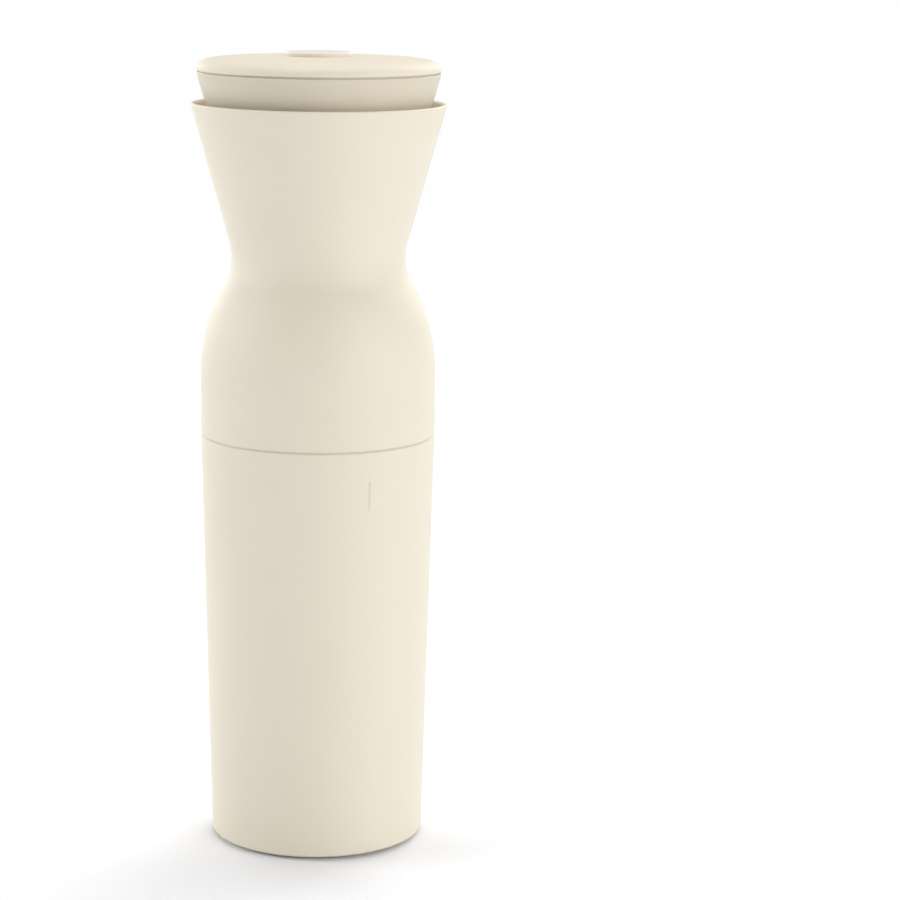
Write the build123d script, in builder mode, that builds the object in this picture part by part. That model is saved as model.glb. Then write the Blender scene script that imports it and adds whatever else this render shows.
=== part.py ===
from build123d import *
from math import acos, atan2, cos, hypot, pi, sin, tan
import os

# Cold brew coffee maker: a vacuum carafe, and on it an hourglass brewer with a filter cup,
# a lid and a push button that opens the drain valve.
# Millimetres, +Z up. The origin is the middle of the foot, on the surface that it stands on.
# Every piece is turned about the Z axis, and the front of the maker faces -Y.

# ---------------------------------------------------------------- outside of the maker
base_radius = 39.7            # carafe wall, carried down to the surface
body_radius = 43.35           # carafe at its shoulder, and the straight band above it
seam_height = 154.0           # carafe shoulder
waist_radius = 32.0
waist_rise = 66.0             # waist above the seam
waist_curve = 20.0            # radius of the hollow waist, seen from the side
rim_radius = 46.9
rim_rise = 56.0               # rim above the waist

# ---------------------------------------------------------------- clearances
fixed_fit = 0.05              # between two pieces that are pressed or glued together
running_fit = 0.10            # between a guide and what slides in it
seat_gap = 0.3                # between a cone and the cone that it rests in
seal_gap = 0.1                # between a soft seal and the wall that it wipes

# ---------------------------------------------------------------- carafe
carafe_wall = 1.2
liner_wall = 1.0
vacuum_gap = 2.4
base_lift = 1.2               # underside of the shell above the surface
base_round = 2.0              # outer edge at the bottom
shoulder_round = 1.2
base_ledge = 3.1              # bottom of the shell round the hole for its cover
neck_inset = 9.85             # neck inside the shoulder
neck_height = 15.5            # above the shoulder
lip_thickness = 1.0
lip_round = 0.4
vacuum_plate_height = 5.0
vacuum_plate_thickness = 1.2
vacuum_plate_flange = 4.0
dimple_radius = 6.0
dimple_depth = 1.8
port_radius = 1.5
liner_floor_gap = 2.8         # flask above the floor of the vacuum jacket
liner_floor_round = 8.0
liner_shoulder_round = 4.0
getter_radius = 7.0
getter_thickness = 1.6
getter_round = 0.5
cover_thickness = 1.2
cover_round = 0.5
cover_lift = 1.6              # underside of the base cover above the surface
foot_inset = 2.1              # foot inside the edge of the base cover
foot_width = 5.5
foot_round = 0.5
foot_key_width = 1.6
foot_key_depth = 0.7
index_angle = 26.0            # degrees to the right of the front
index_width = 1.1
index_depth = 0.3
index_length = 11.4
index_drop = 10.6             # top of the index line under the seam

# ---------------------------------------------------------------- brewer
brewer_wall = 1.8
rim_round = 0.8
seam_width = 0.45             # open joint between carafe and brewer
seam_round = 0.5
gasket_recess = 2.3           # seam gasket behind the face of the brewer
gasket_thickness = 2.0
sleeve_gap = 0.8              # brewer base around the neck
sleeve_wall = 1.8
base_flange_thickness = 2.0
mouth_gasket_thickness = 1.5
mouth_gasket_width = 3.2
floor_thickness = 2.4
floor_fall = 4.0              # drain below the edge of the floor
floor_rim_wall = 2.2
floor_rim_rise = 1.9          # rim of the floor above it, up to the start of the round shoulder
floor_rim_drop = 1.1          # rim of the floor below its underside
plug_gap = 1.0                # plug inside the carafe mouth
plug_wall = 2.4
plug_length = 25.0
plug_round = 0.7
seal_groove_depth = 0.9
seal_height = 3.0
upper_seal_drop = 8.0         # middle of the ring below the floor
lower_seal_drop = 15.0
floor_seal_depth = 1.2
floor_seal_height = 1.9
drain_radius = 7.0
drain_boss_wall = 3.5
drain_boss_drop = 5.5         # boss below the underside of the floor

# ---------------------------------------------------------------- drain valve
seat_wall = 1.2
seat_flange_thickness = 1.5
seat_flange_width = 3.0
stopper_overlap = 2.2         # stopper beyond the edge of the drain
stopper_edge = 2.0
stopper_nose_height = 2.4
stopper_nose_radius = 5.0
stopper_bulge = 1.7           # drop of the rounded underside at its middle
stem_radius = 2.2
stem_chamfer = 0.4
stem_rise = 1.6               # stem above the edge of the floor
stem_tail = 2.5               # stem below its guide
pad_radius = 4.0
pad_height = 4.0              # push pad on the stem, of which half stands above it
pad_roof = 2.0
pad_round = 0.8
cage_lift = 2.0               # guide above the end of the plug
cage_thickness = 3.0
cage_rim_wall = 3.0
cage_hub_radius = 5.0
cage_arm_width = 2.4
cage_arms = 3
valve_spring_gap = 1.45       # between the stem and the spring
valve_spring_wire = 0.35      # radius of the wire
valve_spring_turns = 4.5

# ---------------------------------------------------------------- filter cup
cup_gap = 3.4                 # cup inside the funnel
cup_wall = 1.6
cup_rise = 11.2               # collar of the cup above the rim of the brewer
cup_neck_drop = 8.0           # neck of the cup below the waist
cup_edge_round = 0.4
seat_ring_drop = 30.0         # top of the ring below the rim
seat_ring_height = 6.0
seat_ring_groove = 0.5
seat_ring_notches = 6
seat_notch_width = 7.0
seat_notch_depth = 1.7
mesh_wall = 0.5
mesh_overlap = 4.5            # mesh inside the neck of the cup
mesh_gap = 0.1
top_ring_wall = 0.8
top_ring_height = 6.5
filter_lift = 4.8             # filter above the edge of the chamber floor
frame_wall = 1.4
frame_ring_height = 3.0
frame_ribs = 8
frame_rib_width = 2.2
filter_base_thickness = 1.8
base_rim_width = 3.0
base_spokes = 4
base_spoke_width = 2.2
base_hub_radius = 7.0
rod_tube_gap = 0.9            # between the push rod and its tube
rod_tube_wall = 1.0
rod_tube_drop = 14.0          # top of the tube below the rim of the brewer
bush_height = 5.0
bush_flange = 1.2
bush_flange_thickness = 1.2

# ---------------------------------------------------------------- lid and button
lid_overhang = 0.0            # lid beyond the collar of the cup: it is flush
lid_seam = 0.5                # open joint between cup and lid
lid_edge_height = 1.2         # straight side of the lid
lid_edge_drop = 3.5           # round edge, measured down
lid_edge_reach = 4.3          # round edge, measured inwards
lid_dome = 0.6
lid_wall = 2.0
lid_underside_round = 0.5
button_radius = 12.0
button_gap = 0.3
button_proud = 1.5            # button above the lid
button_round = 0.7
button_top_wall = 1.8
button_side_wall = 1.6
button_height = 8.0
button_stop_width = 1.2
button_stop_height = 1.0
button_travel = 4.0           # until its hub stands on the dish of the lid
sleeve_thickness = 1.5
lid_flange_thickness = 1.6
lid_flange_width = 0.8        # flange of the lid base on the edge of the cup
lid_base_gap = 1.2
lid_base_wall = 1.6
lid_base_depth = 7.8          # underside of the dish below the top of the cup
lid_seal_drop = 1.9           # top of the ring below the top of the cup
lid_seal_height = 3.0
lid_seal_depth = 0.6
rod_radius = 2.5
rod_chamfer = 0.5
rod_guide_gap = 0.25
rod_guide_wall = 1.8
rod_guide_length = 6.9
rod_seal_height = 3.0
rod_seal_depth = 0.9
hub_wall = 1.1
hub_roof = 1.2                # top of the rod below the underside of the button
tip_height = 3.0
tip_round = 0.6
spigot_length = 2.0           # end of the rod inside its tip
spigot_radius = 1.6
push_gap = 0.3                # rod tip above the push pad
button_spring_radius = 6.5
button_spring_wire = 0.45
button_spring_turns = 5.0

# ---------------------------------------------------------------- worked out from these
waist_height = seam_height + waist_rise
rim_height = waist_height + rim_rise
neck_radius = body_radius - neck_inset
neck_top = seam_height + neck_height
lip_top = neck_top + lip_thickness
floor_underside = lip_top + mouth_gasket_thickness
floor_top = floor_underside + floor_thickness
shoulder_start = floor_top + floor_rim_rise

# The round shoulder starts upright at shoulder_start and runs smoothly into the waist
waist_centre = waist_radius + waist_curve
shoulder_rise = waist_height - shoulder_start
shoulder_reach = waist_centre - body_radius
shoulder_chord = shoulder_rise**2 + shoulder_reach**2 - waist_curve**2
shoulder_curve = shoulder_chord / (2 * (waist_curve - shoulder_reach))
shoulder_centre = body_radius - shoulder_curve
shoulder_turn = acos((waist_centre - shoulder_centre) / (shoulder_curve + waist_curve))
rim_reach = hypot(rim_radius - waist_centre, rim_height - waist_height)
rim_bearing = atan2(rim_height - waist_height, rim_radius - waist_centre)
funnel_angle = pi - rim_bearing - acos(waist_curve / rim_reach)

os.makedirs("parts", exist_ok=True)


def carafe_radius(height, inset=0.0):
    """Radius of the carafe wall at a height, moved inwards by inset."""
    return base_radius + (body_radius - base_radius) * height / seam_height - inset


def funnel_radius(height, inset=0.0):
    """Radius of the straight funnel wall at a height, moved squarely inwards by inset."""
    return rim_radius + (height - rim_height) * tan(funnel_angle) - inset / cos(funnel_angle)


def shoulder_point(inset, turn):
    """Point on the round shoulder, which starts upright at turn = 0."""
    curve = shoulder_curve - inset
    return (shoulder_centre + curve * cos(turn), shoulder_start + curve * sin(turn))


def waist_point(inset, turn):
    """Point on the hollow waist, which is narrowest at turn = 0."""
    curve = waist_curve + inset
    return (waist_centre - curve * cos(turn), waist_height + curve * sin(turn))


def draw_funnel(inset, bottom, top):
    """Draws a straight neck, the upper half of the waist and the funnel, from bottom to top."""
    Line((waist_radius - inset, bottom), waist_point(inset, 0))
    ThreePointArc(*[waist_point(inset, funnel_angle * part) for part in (0, 0.5, 1)])
    Line(waist_point(inset, funnel_angle), (funnel_radius(top, inset), top))


def draw_hourglass(inset, bottom, top):
    """Draws the band, the shoulder, the waist and the funnel, from bottom to top."""
    waist_turns = (-shoulder_turn, (funnel_angle - shoulder_turn) / 2, funnel_angle)
    Line((body_radius - inset, bottom), shoulder_point(inset, 0))
    ThreePointArc(*[shoulder_point(inset, shoulder_turn * part) for part in (0, 0.5, 1)])
    ThreePointArc(*[waist_point(inset, turn) for turn in waist_turns])
    Line(waist_point(inset, funnel_angle), (funnel_radius(top, inset), top))


# ================================================================ carafe
mouth_radius = neck_radius - carafe_wall - fixed_fit - liner_wall
base_opening = base_radius - base_ledge
wall_start = base_lift + base_round
shell_floor = base_lift + carafe_wall

# Outer wall of the carafe, with its rolled bottom edge, flat shoulder and neck
with BuildPart() as carafe_shell:
    with BuildSketch(Plane.XZ):
        with BuildLine():
            bottom_corner = carafe_radius(wall_start) - base_round
            inner_start = carafe_radius(wall_start, carafe_wall)
            Line((base_opening, base_lift), (bottom_corner, base_lift))
            RadiusArc((bottom_corner, base_lift), (carafe_radius(wall_start), wall_start), -base_round)
            Polyline(
                (carafe_radius(wall_start), wall_start),
                (body_radius, seam_height),
                (neck_radius, seam_height),
                (neck_radius, neck_top),
                (neck_radius - carafe_wall, neck_top),
                (neck_radius - carafe_wall, seam_height - carafe_wall),
                (body_radius - carafe_wall, seam_height - carafe_wall),
                (inner_start, wall_start),
            )
            RadiusArc((inner_start, wall_start), (bottom_corner, shell_floor), base_round - carafe_wall)
            Polyline((bottom_corner, shell_floor), (base_opening, shell_floor), (base_opening, base_lift))
        make_face()
    revolve(axis=Axis.Z)
    shoulder_edges = carafe_shell.edges().filter_by_position(Axis.Z, seam_height, seam_height)
    fillet(shoulder_edges.sort_by(SortBy.RADIUS)[-1], radius=shoulder_round)
    index_middle = seam_height - index_drop - index_length / 2
    index_plane = Plane.XZ.rotated((0, 0, index_angle)).offset(carafe_radius(index_middle) - index_depth)
    with BuildSketch(index_plane):
        with Locations((0, index_middle)):
            SlotOverall(index_length, index_width, rotation=90)
    extrude(amount=body_radius, mode=Mode.SUBTRACT)
carafe_shell.part.label = "carafe_shell"
export_step(carafe_shell.part, "parts/carafe_shell.step")

# Inner flask, which hangs from the neck by its lip
plate_top = vacuum_plate_height + vacuum_plate_thickness
liner_floor_height = plate_top + liner_floor_gap
liner_inset = carafe_wall + vacuum_gap
liner_side_start = liner_floor_height + liner_floor_round
liner_roof = seam_height - carafe_wall - vacuum_gap
liner_side_end = liner_roof - liner_shoulder_round
liner_neck = mouth_radius + liner_wall
with BuildPart() as carafe_liner:
    with BuildSketch(Plane.XZ):
        with BuildLine():
            floor_corner = carafe_radius(liner_side_start, liner_inset) - liner_floor_round
            roof_corner = carafe_radius(liner_side_end, liner_inset) - liner_shoulder_round
            side_bottom = (carafe_radius(liner_side_start, liner_inset), liner_side_start)
            side_top = (carafe_radius(liner_side_end, liner_inset), liner_side_end)
            Line((0, liner_floor_height), (floor_corner, liner_floor_height))
            RadiusArc((floor_corner, liner_floor_height), side_bottom, -liner_floor_round)
            Line(side_bottom, side_top)
            RadiusArc(side_top, (roof_corner, liner_roof), -liner_shoulder_round)
            Polyline(
                (roof_corner, liner_roof),
                (liner_neck, liner_roof),
                (liner_neck, neck_top),
                (0, neck_top),
                (0, liner_floor_height),
            )
        make_face()
    revolve(axis=Axis.Z)
    offset(amount=-liner_wall, openings=carafe_liner.faces().sort_by(Axis.Z)[-1])
    with BuildSketch(Plane.XY.offset(neck_top)):
        Circle(neck_radius)
        Circle(mouth_radius, mode=Mode.SUBTRACT)
    extrude(amount=lip_thickness)
    lip_edges = carafe_liner.edges().filter_by_position(Axis.Z, lip_top, lip_top)
    fillet(lip_edges, radius=lip_round)
carafe_liner.part.label = "carafe_liner"
export_step(carafe_liner.part, "parts/carafe_liner.step")

# Welded floor of the vacuum jacket, with a dimple round the hole it is pumped through
plate_radius = carafe_radius(vacuum_plate_height, carafe_wall + fixed_fit)
with BuildPart() as vacuum_plate:
    with BuildSketch(Plane.XZ):
        with BuildLine():
            Polyline(
                (port_radius, plate_top - dimple_depth),
                (dimple_radius, plate_top),
                (plate_radius - vacuum_plate_thickness, plate_top),
                (plate_radius - vacuum_plate_thickness, plate_top + vacuum_plate_flange),
                (plate_radius, plate_top + vacuum_plate_flange),
                (plate_radius, vacuum_plate_height),
                (dimple_radius, vacuum_plate_height),
                (port_radius, vacuum_plate_height - dimple_depth),
                close=True,
            )
        make_face()
    revolve(axis=Axis.Z)
vacuum_plate.part.label = "vacuum_plate"
export_step(vacuum_plate.part, "parts/vacuum_plate.step")

# Solder bead that closes the hole
with BuildPart() as seal_bead:
    with BuildSketch(Plane.XY.offset(vacuum_plate_height - dimple_depth)):
        Circle(port_radius - fixed_fit)
    extrude(amount=vacuum_plate_thickness)
seal_bead.part.label = "seal_bead"
export_step(seal_bead.part, "parts/seal_bead.step")

# Getter under the flask, which keeps the vacuum clean
with BuildPart() as getter_pad:
    with BuildSketch(Plane.XY.offset(liner_floor_height - getter_thickness)):
        Circle(getter_radius)
    extrude(amount=getter_thickness)
    fillet(getter_pad.edges().group_by(Axis.Z)[0], radius=getter_round)
getter_pad.part.label = "getter_pad"
export_step(getter_pad.part, "parts/getter_pad.step")

# Pressed cover in the bottom of the shell, with a groove that keys the foot
cover_radius = base_opening - fixed_fit
foot_outer = base_opening - foot_inset
foot_middle = foot_outer - foot_width / 2
with BuildPart() as base_cover:
    with BuildSketch(Plane.XY.offset(cover_lift)):
        Circle(cover_radius)
    extrude(amount=vacuum_plate_height - cover_lift)
    fillet(base_cover.edges().group_by(Axis.Z)[0], radius=cover_round)
    with BuildSketch(Plane.XY.offset(cover_lift + cover_thickness)):
        Circle(cover_radius - cover_thickness)
    extrude(amount=vacuum_plate_height, mode=Mode.SUBTRACT)
    with BuildSketch(Plane.XY.offset(cover_lift)):
        Circle(foot_middle + foot_key_width / 2 + fixed_fit)
        Circle(foot_middle - foot_key_width / 2 - fixed_fit, mode=Mode.SUBTRACT)
    extrude(amount=foot_key_depth, mode=Mode.SUBTRACT)
base_cover.part.label = "base_cover"
export_step(base_cover.part, "parts/base_cover.step")

# Silicone foot
with BuildPart() as foot_ring:
    with BuildSketch():
        Circle(foot_outer)
        Circle(foot_outer - foot_width, mode=Mode.SUBTRACT)
    extrude(amount=cover_lift)
    fillet(foot_ring.edges().group_by(Axis.Z)[0], radius=foot_round)
    with BuildSketch(Plane.XY.offset(cover_lift)):
        Circle(foot_middle + foot_key_width / 2)
        Circle(foot_middle - foot_key_width / 2, mode=Mode.SUBTRACT)
    extrude(amount=foot_key_depth - fixed_fit)
foot_ring.part.label = "foot_ring"
export_step(foot_ring.part, "parts/foot_ring.step")

# ================================================================ brewer
band_radius = body_radius - brewer_wall
brewer_bottom = seam_height + seam_width
gasket_top = seam_height + gasket_thickness
floor_rim_radius = band_radius - fixed_fit
plug_radius = mouth_radius - plug_gap
plug_bore = plug_radius - plug_wall
plug_bottom = floor_underside - plug_length
drain_lip_height = floor_top - floor_fall
drain_boss_bottom = floor_underside - drain_boss_drop

# Hourglass shell with the open funnel
with BuildPart() as brewer_shell:
    with BuildSketch(Plane.XZ):
        with BuildLine():
            draw_hourglass(0, brewer_bottom, rim_height)
            draw_hourglass(brewer_wall, brewer_bottom, rim_height)
            Line((body_radius, brewer_bottom), (band_radius, brewer_bottom))
            Line((rim_radius, rim_height), (funnel_radius(rim_height, brewer_wall), rim_height))
        make_face()
    revolve(axis=Axis.Z)
    fillet(brewer_shell.edges().group_by(Axis.Z)[-1], radius=rim_round)
    bottom_edges = brewer_shell.edges().filter_by_position(Axis.Z, brewer_bottom, brewer_bottom)
    fillet(bottom_edges.sort_by(SortBy.RADIUS)[-1], radius=seam_round)
brewer_shell.part.label = "brewer_shell"
export_step(brewer_shell.part, "parts/brewer_shell.step")

# Floor of the steeping chamber, with the drain, and the plug that fits the carafe mouth
with BuildPart() as chamber_floor:
    with BuildSketch(Plane.XZ):
        with BuildLine():
            boss_radius = drain_radius + drain_boss_wall
            rim_underside = floor_underside - floor_rim_drop
            slope = floor_fall / (plug_bore - drain_radius)
            boss_top = drain_lip_height - floor_thickness + (boss_radius - drain_radius) * slope
            Polyline(
                (drain_radius, drain_lip_height),
                (plug_bore, floor_top),
                (floor_rim_radius - floor_rim_wall, floor_top),
                (floor_rim_radius - floor_rim_wall, shoulder_start),
                (floor_rim_radius, shoulder_start),
                (floor_rim_radius, rim_underside),
                (floor_rim_radius - floor_rim_wall, rim_underside),
                (floor_rim_radius - floor_rim_wall, floor_underside),
                (plug_radius, floor_underside),
                (plug_radius, plug_bottom),
                (plug_bore, plug_bottom),
                (plug_bore, floor_underside),
                (boss_radius, boss_top),
                (boss_radius, drain_boss_bottom),
                (drain_radius, drain_boss_bottom),
                close=True,
            )
        make_face()
    revolve(axis=Axis.Z)
    fillet(chamber_floor.edges().group_by(Axis.Z)[0], radius=plug_round)
    for seal_drop in (upper_seal_drop, lower_seal_drop):
        with BuildSketch(Plane.XY.offset(floor_underside - seal_drop - seal_height / 2)):
            Circle(plug_radius)
            Circle(plug_radius - seal_groove_depth, mode=Mode.SUBTRACT)
        extrude(amount=seal_height, mode=Mode.SUBTRACT)
    floor_seal_bottom = (shoulder_start + rim_underside - floor_seal_height) / 2
    with BuildSketch(Plane.XY.offset(floor_seal_bottom)):
        Circle(floor_rim_radius)
        Circle(floor_rim_radius - floor_seal_depth, mode=Mode.SUBTRACT)
    extrude(amount=floor_seal_height, mode=Mode.SUBTRACT)
chamber_floor.part.label = "chamber_floor"
export_step(chamber_floor.part, "parts/chamber_floor.step")

# Ring that seals the chamber floor against the shell
with BuildPart() as floor_seal:
    with BuildSketch(Plane.XY.offset(floor_seal_bottom + fixed_fit)):
        Circle(band_radius - fixed_fit)
        Circle(floor_rim_radius - floor_seal_depth + fixed_fit, mode=Mode.SUBTRACT)
    extrude(amount=floor_seal_height - 2 * fixed_fit)
floor_seal.part.label = "floor_seal"
export_step(floor_seal.part, "parts/floor_seal.step")

# Base of the brewer: a flange over the seam gasket and a sleeve round the carafe neck
sleeve_bore = neck_radius + sleeve_gap
with BuildPart() as brewer_base:
    with BuildSketch(Plane.XZ):
        with BuildLine():
            flange_top = gasket_top + base_flange_thickness
            Polyline(
                (sleeve_bore, gasket_top),
                (band_radius - fixed_fit, gasket_top),
                (band_radius - fixed_fit, flange_top),
                (sleeve_bore + sleeve_wall, flange_top),
                (sleeve_bore + sleeve_wall, floor_underside),
                (sleeve_bore, floor_underside),
                close=True,
            )
        make_face()
    revolve(axis=Axis.Z)
brewer_base.part.label = "brewer_base"
export_step(brewer_base.part, "parts/brewer_base.step")

# Silicone gasket that the brewer stands on, set back in the seam
with BuildPart() as seam_gasket:
    with BuildSketch(Plane.XY.offset(seam_height)):
        Circle(body_radius - gasket_recess)
        Circle(sleeve_bore, mode=Mode.SUBTRACT)
    extrude(amount=gasket_thickness)
seam_gasket.part.label = "seam_gasket"
export_step(seam_gasket.part, "parts/seam_gasket.step")

# Flat gasket between the lip of the carafe and the chamber floor
with BuildPart() as mouth_gasket:
    with BuildSketch(Plane.XY.offset(lip_top)):
        Circle(plug_radius + mouth_gasket_width)
        Circle(plug_radius + fixed_fit, mode=Mode.SUBTRACT)
    extrude(amount=mouth_gasket_thickness)
mouth_gasket.part.label = "mouth_gasket"
export_step(mouth_gasket.part, "parts/mouth_gasket.step")


def draw_plug_seal(middle):
    """Draws the section of a plug seal: a flat back and two round lips."""
    back = plug_radius - seal_groove_depth + fixed_fit
    lip = mouth_radius - seal_gap
    valley = plug_radius + plug_gap / 3
    low = middle - seal_height / 2 + fixed_fit
    high = middle + seal_height / 2 - fixed_fit
    Polyline((plug_radius, low), (back, low), (back, high), (plug_radius, high))
    ThreePointArc((plug_radius, high), (lip, (high + middle) / 2), (valley, middle))
    ThreePointArc((valley, middle), (lip, (low + middle) / 2), (plug_radius, low))


# Two lipped rings on the plug, which hold the brewer in the carafe
with BuildPart() as plug_seal_upper:
    with BuildSketch(Plane.XZ):
        with BuildLine():
            draw_plug_seal(floor_underside - upper_seal_drop)
        make_face()
    revolve(axis=Axis.Z)
plug_seal_upper.part.label = "plug_seal_upper"
export_step(plug_seal_upper.part, "parts/plug_seal_upper.step")

with BuildPart() as plug_seal_lower:
    with BuildSketch(Plane.XZ):
        with BuildLine():
            draw_plug_seal(floor_underside - lower_seal_drop)
        make_face()
    revolve(axis=Axis.Z)
plug_seal_lower.part.label = "plug_seal_lower"
export_step(plug_seal_lower.part, "parts/plug_seal_lower.step")

# ================================================================ drain valve
seat_bottom = drain_boss_bottom - seat_flange_thickness
seat_bore = drain_radius - fixed_fit - seat_wall
seat_flange_radius = drain_radius + seat_flange_width
cage_bottom = plug_bottom + cage_lift
cage_top = cage_bottom + cage_thickness

# Silicone seat in the drain, with a flange under the boss
with BuildPart() as valve_seat:
    with BuildSketch(Plane.XZ):
        with BuildLine():
            Polyline(
                (seat_bore, seat_bottom),
                (seat_flange_radius, seat_bottom),
                (seat_flange_radius, drain_boss_bottom),
                (drain_radius - fixed_fit, drain_boss_bottom),
                (drain_radius - fixed_fit, drain_lip_height),
                (seat_bore, drain_lip_height),
                close=True,
            )
        make_face()
    revolve(axis=Axis.Z)
valve_seat.part.label = "valve_seat"
export_step(valve_seat.part, "parts/valve_seat.step")

# Stopper under the seat, rounded below so that it drips from its middle
stopper_radius = drain_radius + stopper_overlap
stopper_edge_bottom = seat_bottom - stopper_edge
nose_bottom = stopper_edge_bottom - stopper_nose_height
with BuildPart() as valve_plug:
    with BuildSketch(Plane.XZ):
        with BuildLine():
            Polyline(
                (stem_radius + fixed_fit, nose_bottom),
                (stem_radius + fixed_fit, seat_bottom),
                (stopper_radius, seat_bottom),
                (stopper_radius, stopper_edge_bottom),
            )
            ThreePointArc(
                (stopper_radius, stopper_edge_bottom),
                ((stopper_radius + stopper_nose_radius) / 2, stopper_edge_bottom - stopper_bulge),
                (stopper_nose_radius, nose_bottom),
            )
            Line((stopper_nose_radius, nose_bottom), (stem_radius + fixed_fit, nose_bottom))
        make_face()
    revolve(axis=Axis.Z)
valve_plug.part.label = "valve_plug"
export_step(valve_plug.part, "parts/valve_plug.step")

# Steel stem through the stopper
stem_bottom = cage_bottom - stem_tail
stem_top = floor_top + stem_rise
with BuildPart() as valve_stem:
    with BuildSketch(Plane.XY.offset(stem_bottom)):
        Circle(stem_radius)
    extrude(amount=stem_top - stem_bottom)
    chamfer(valve_stem.edges().group_by(Axis.Z)[0], length=stem_chamfer)
valve_stem.part.label = "valve_stem"
export_step(valve_stem.part, "parts/valve_stem.step")

# Push pad pressed on the top of the stem
pad_top = stem_top + pad_roof
with BuildPart() as push_pad:
    with BuildSketch(Plane.XY.offset(pad_top - pad_height)):
        Circle(pad_radius)
    extrude(amount=pad_height)
    fillet(push_pad.edges().group_by(Axis.Z)[-1], radius=pad_round)
    with BuildSketch(Plane.XY.offset(pad_top - pad_height)):
        Circle(stem_radius + fixed_fit)
    extrude(amount=pad_height - pad_roof, mode=Mode.SUBTRACT)
push_pad.part.label = "push_pad"
export_step(push_pad.part, "parts/push_pad.step")

# Cage in the plug, which guides the stem and carries the spring
cage_radius = plug_bore - fixed_fit
with BuildPart() as valve_cage:
    with BuildSketch(Plane.XY.offset(cage_bottom)):
        Circle(cage_radius)
        Circle(cage_radius - cage_rim_wall, mode=Mode.SUBTRACT)
        Circle(cage_hub_radius)
        with PolarLocations(cage_radius / 2, cage_arms):
            Rectangle(cage_radius - cage_rim_wall / 2, cage_arm_width)
        Circle(stem_radius + running_fit, mode=Mode.SUBTRACT)
    extrude(amount=cage_thickness)
valve_cage.part.label = "valve_cage"
export_step(valve_cage.part, "parts/valve_cage.step")


def spring_path(radius, wire, turns, bottom, top):
    """Makes the helix of a spring whose ends lie against two flat faces."""
    height = top - bottom - 2 * wire
    return Helix(height / turns, height, radius, center=(0, 0, bottom + wire))


# Spring that holds the stopper up against its seat
valve_spring_radius = stem_radius + valve_spring_gap + valve_spring_wire
valve_spring_path = spring_path(
    valve_spring_radius, valve_spring_wire + fixed_fit, valve_spring_turns, cage_top, nose_bottom
)
with BuildPart() as valve_spring:
    with BuildSketch(valve_spring_path ^ 0):
        Circle(valve_spring_wire)
    sweep(path=valve_spring_path)
valve_spring.part.label = "valve_spring"
export_step(valve_spring.part, "parts/valve_spring.step")

# ================================================================ filter cup
cup_inset = brewer_wall + cup_gap
cup_bore_inset = cup_inset + cup_wall
cup_top = rim_height + cup_rise
cup_neck_bottom = waist_height - cup_neck_drop
neck_bore = waist_radius - cup_bore_inset
seat_ring_top = rim_height - seat_ring_drop
seat_ring_bottom = seat_ring_top - seat_ring_height


def draw_cone_band(outer_inset, inner_inset, bottom, top):
    """Draws the section of a band that lies along the funnel, between two insets."""
    Polyline(
        (funnel_radius(bottom, outer_inset), bottom),
        (funnel_radius(top, outer_inset), top),
        (funnel_radius(top, inner_inset), top),
        (funnel_radius(bottom, inner_inset), bottom),
        close=True,
    )


# Cup that nests in the funnel, with its collar above the rim and its neck in the waist
with BuildPart() as filter_cup:
    with BuildSketch(Plane.XZ):
        with BuildLine():
            draw_funnel(cup_inset, cup_neck_bottom, cup_top)
            draw_funnel(cup_bore_inset, cup_neck_bottom, cup_top)
            Line((waist_radius - cup_inset, cup_neck_bottom), (neck_bore, cup_neck_bottom))
            Line(
                (funnel_radius(cup_top, cup_inset), cup_top),
                (funnel_radius(cup_top, cup_bore_inset), cup_top),
            )
        make_face()
        with BuildLine():
            draw_cone_band(cup_inset, cup_inset + seat_ring_groove, seat_ring_bottom, seat_ring_top)
        make_face(mode=Mode.SUBTRACT)
    revolve(axis=Axis.Z)
    fillet(filter_cup.edges().group_by(Axis.Z)[-1], radius=cup_edge_round)
filter_cup.part.label = "filter_cup"
export_step(filter_cup.part, "parts/filter_cup.step")

# Notched silicone ring that the cup rests on in the funnel
with BuildPart() as cup_seat_ring:
    with BuildSketch(Plane.XZ):
        with BuildLine():
            draw_cone_band(
                brewer_wall + seat_gap,
                cup_inset + seat_ring_groove - fixed_fit,
                seat_ring_bottom + fixed_fit,
                seat_ring_top - fixed_fit,
            )
        make_face()
    revolve(axis=Axis.Z)
    notch_middle = funnel_radius(seat_ring_bottom, brewer_wall)
    with BuildSketch(Plane.XY.offset(seat_ring_bottom)):
        with PolarLocations(notch_middle, seat_ring_notches):
            Rectangle(2 * seat_notch_depth, seat_notch_width)
    extrude(amount=seat_ring_height, mode=Mode.SUBTRACT)
cup_seat_ring.part.label = "cup_seat_ring"
export_step(cup_seat_ring.part, "parts/cup_seat_ring.step")

# Fine steel mesh sleeve, whose top is held inside the neck
base_bottom = floor_top + filter_lift
filter_bottom = base_bottom + filter_base_thickness
mesh_radius = neck_bore - mesh_gap
mesh_top = cup_neck_bottom + mesh_overlap
mesh_floor = filter_bottom + mesh_wall
with BuildPart() as filter_mesh:
    with BuildSketch(Plane.XY.offset(mesh_floor)):
        Circle(mesh_radius)
        Circle(mesh_radius - mesh_wall, mode=Mode.SUBTRACT)
    extrude(amount=mesh_top - mesh_floor)
filter_mesh.part.label = "filter_mesh"
export_step(filter_mesh.part, "parts/filter_mesh.step")

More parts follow.
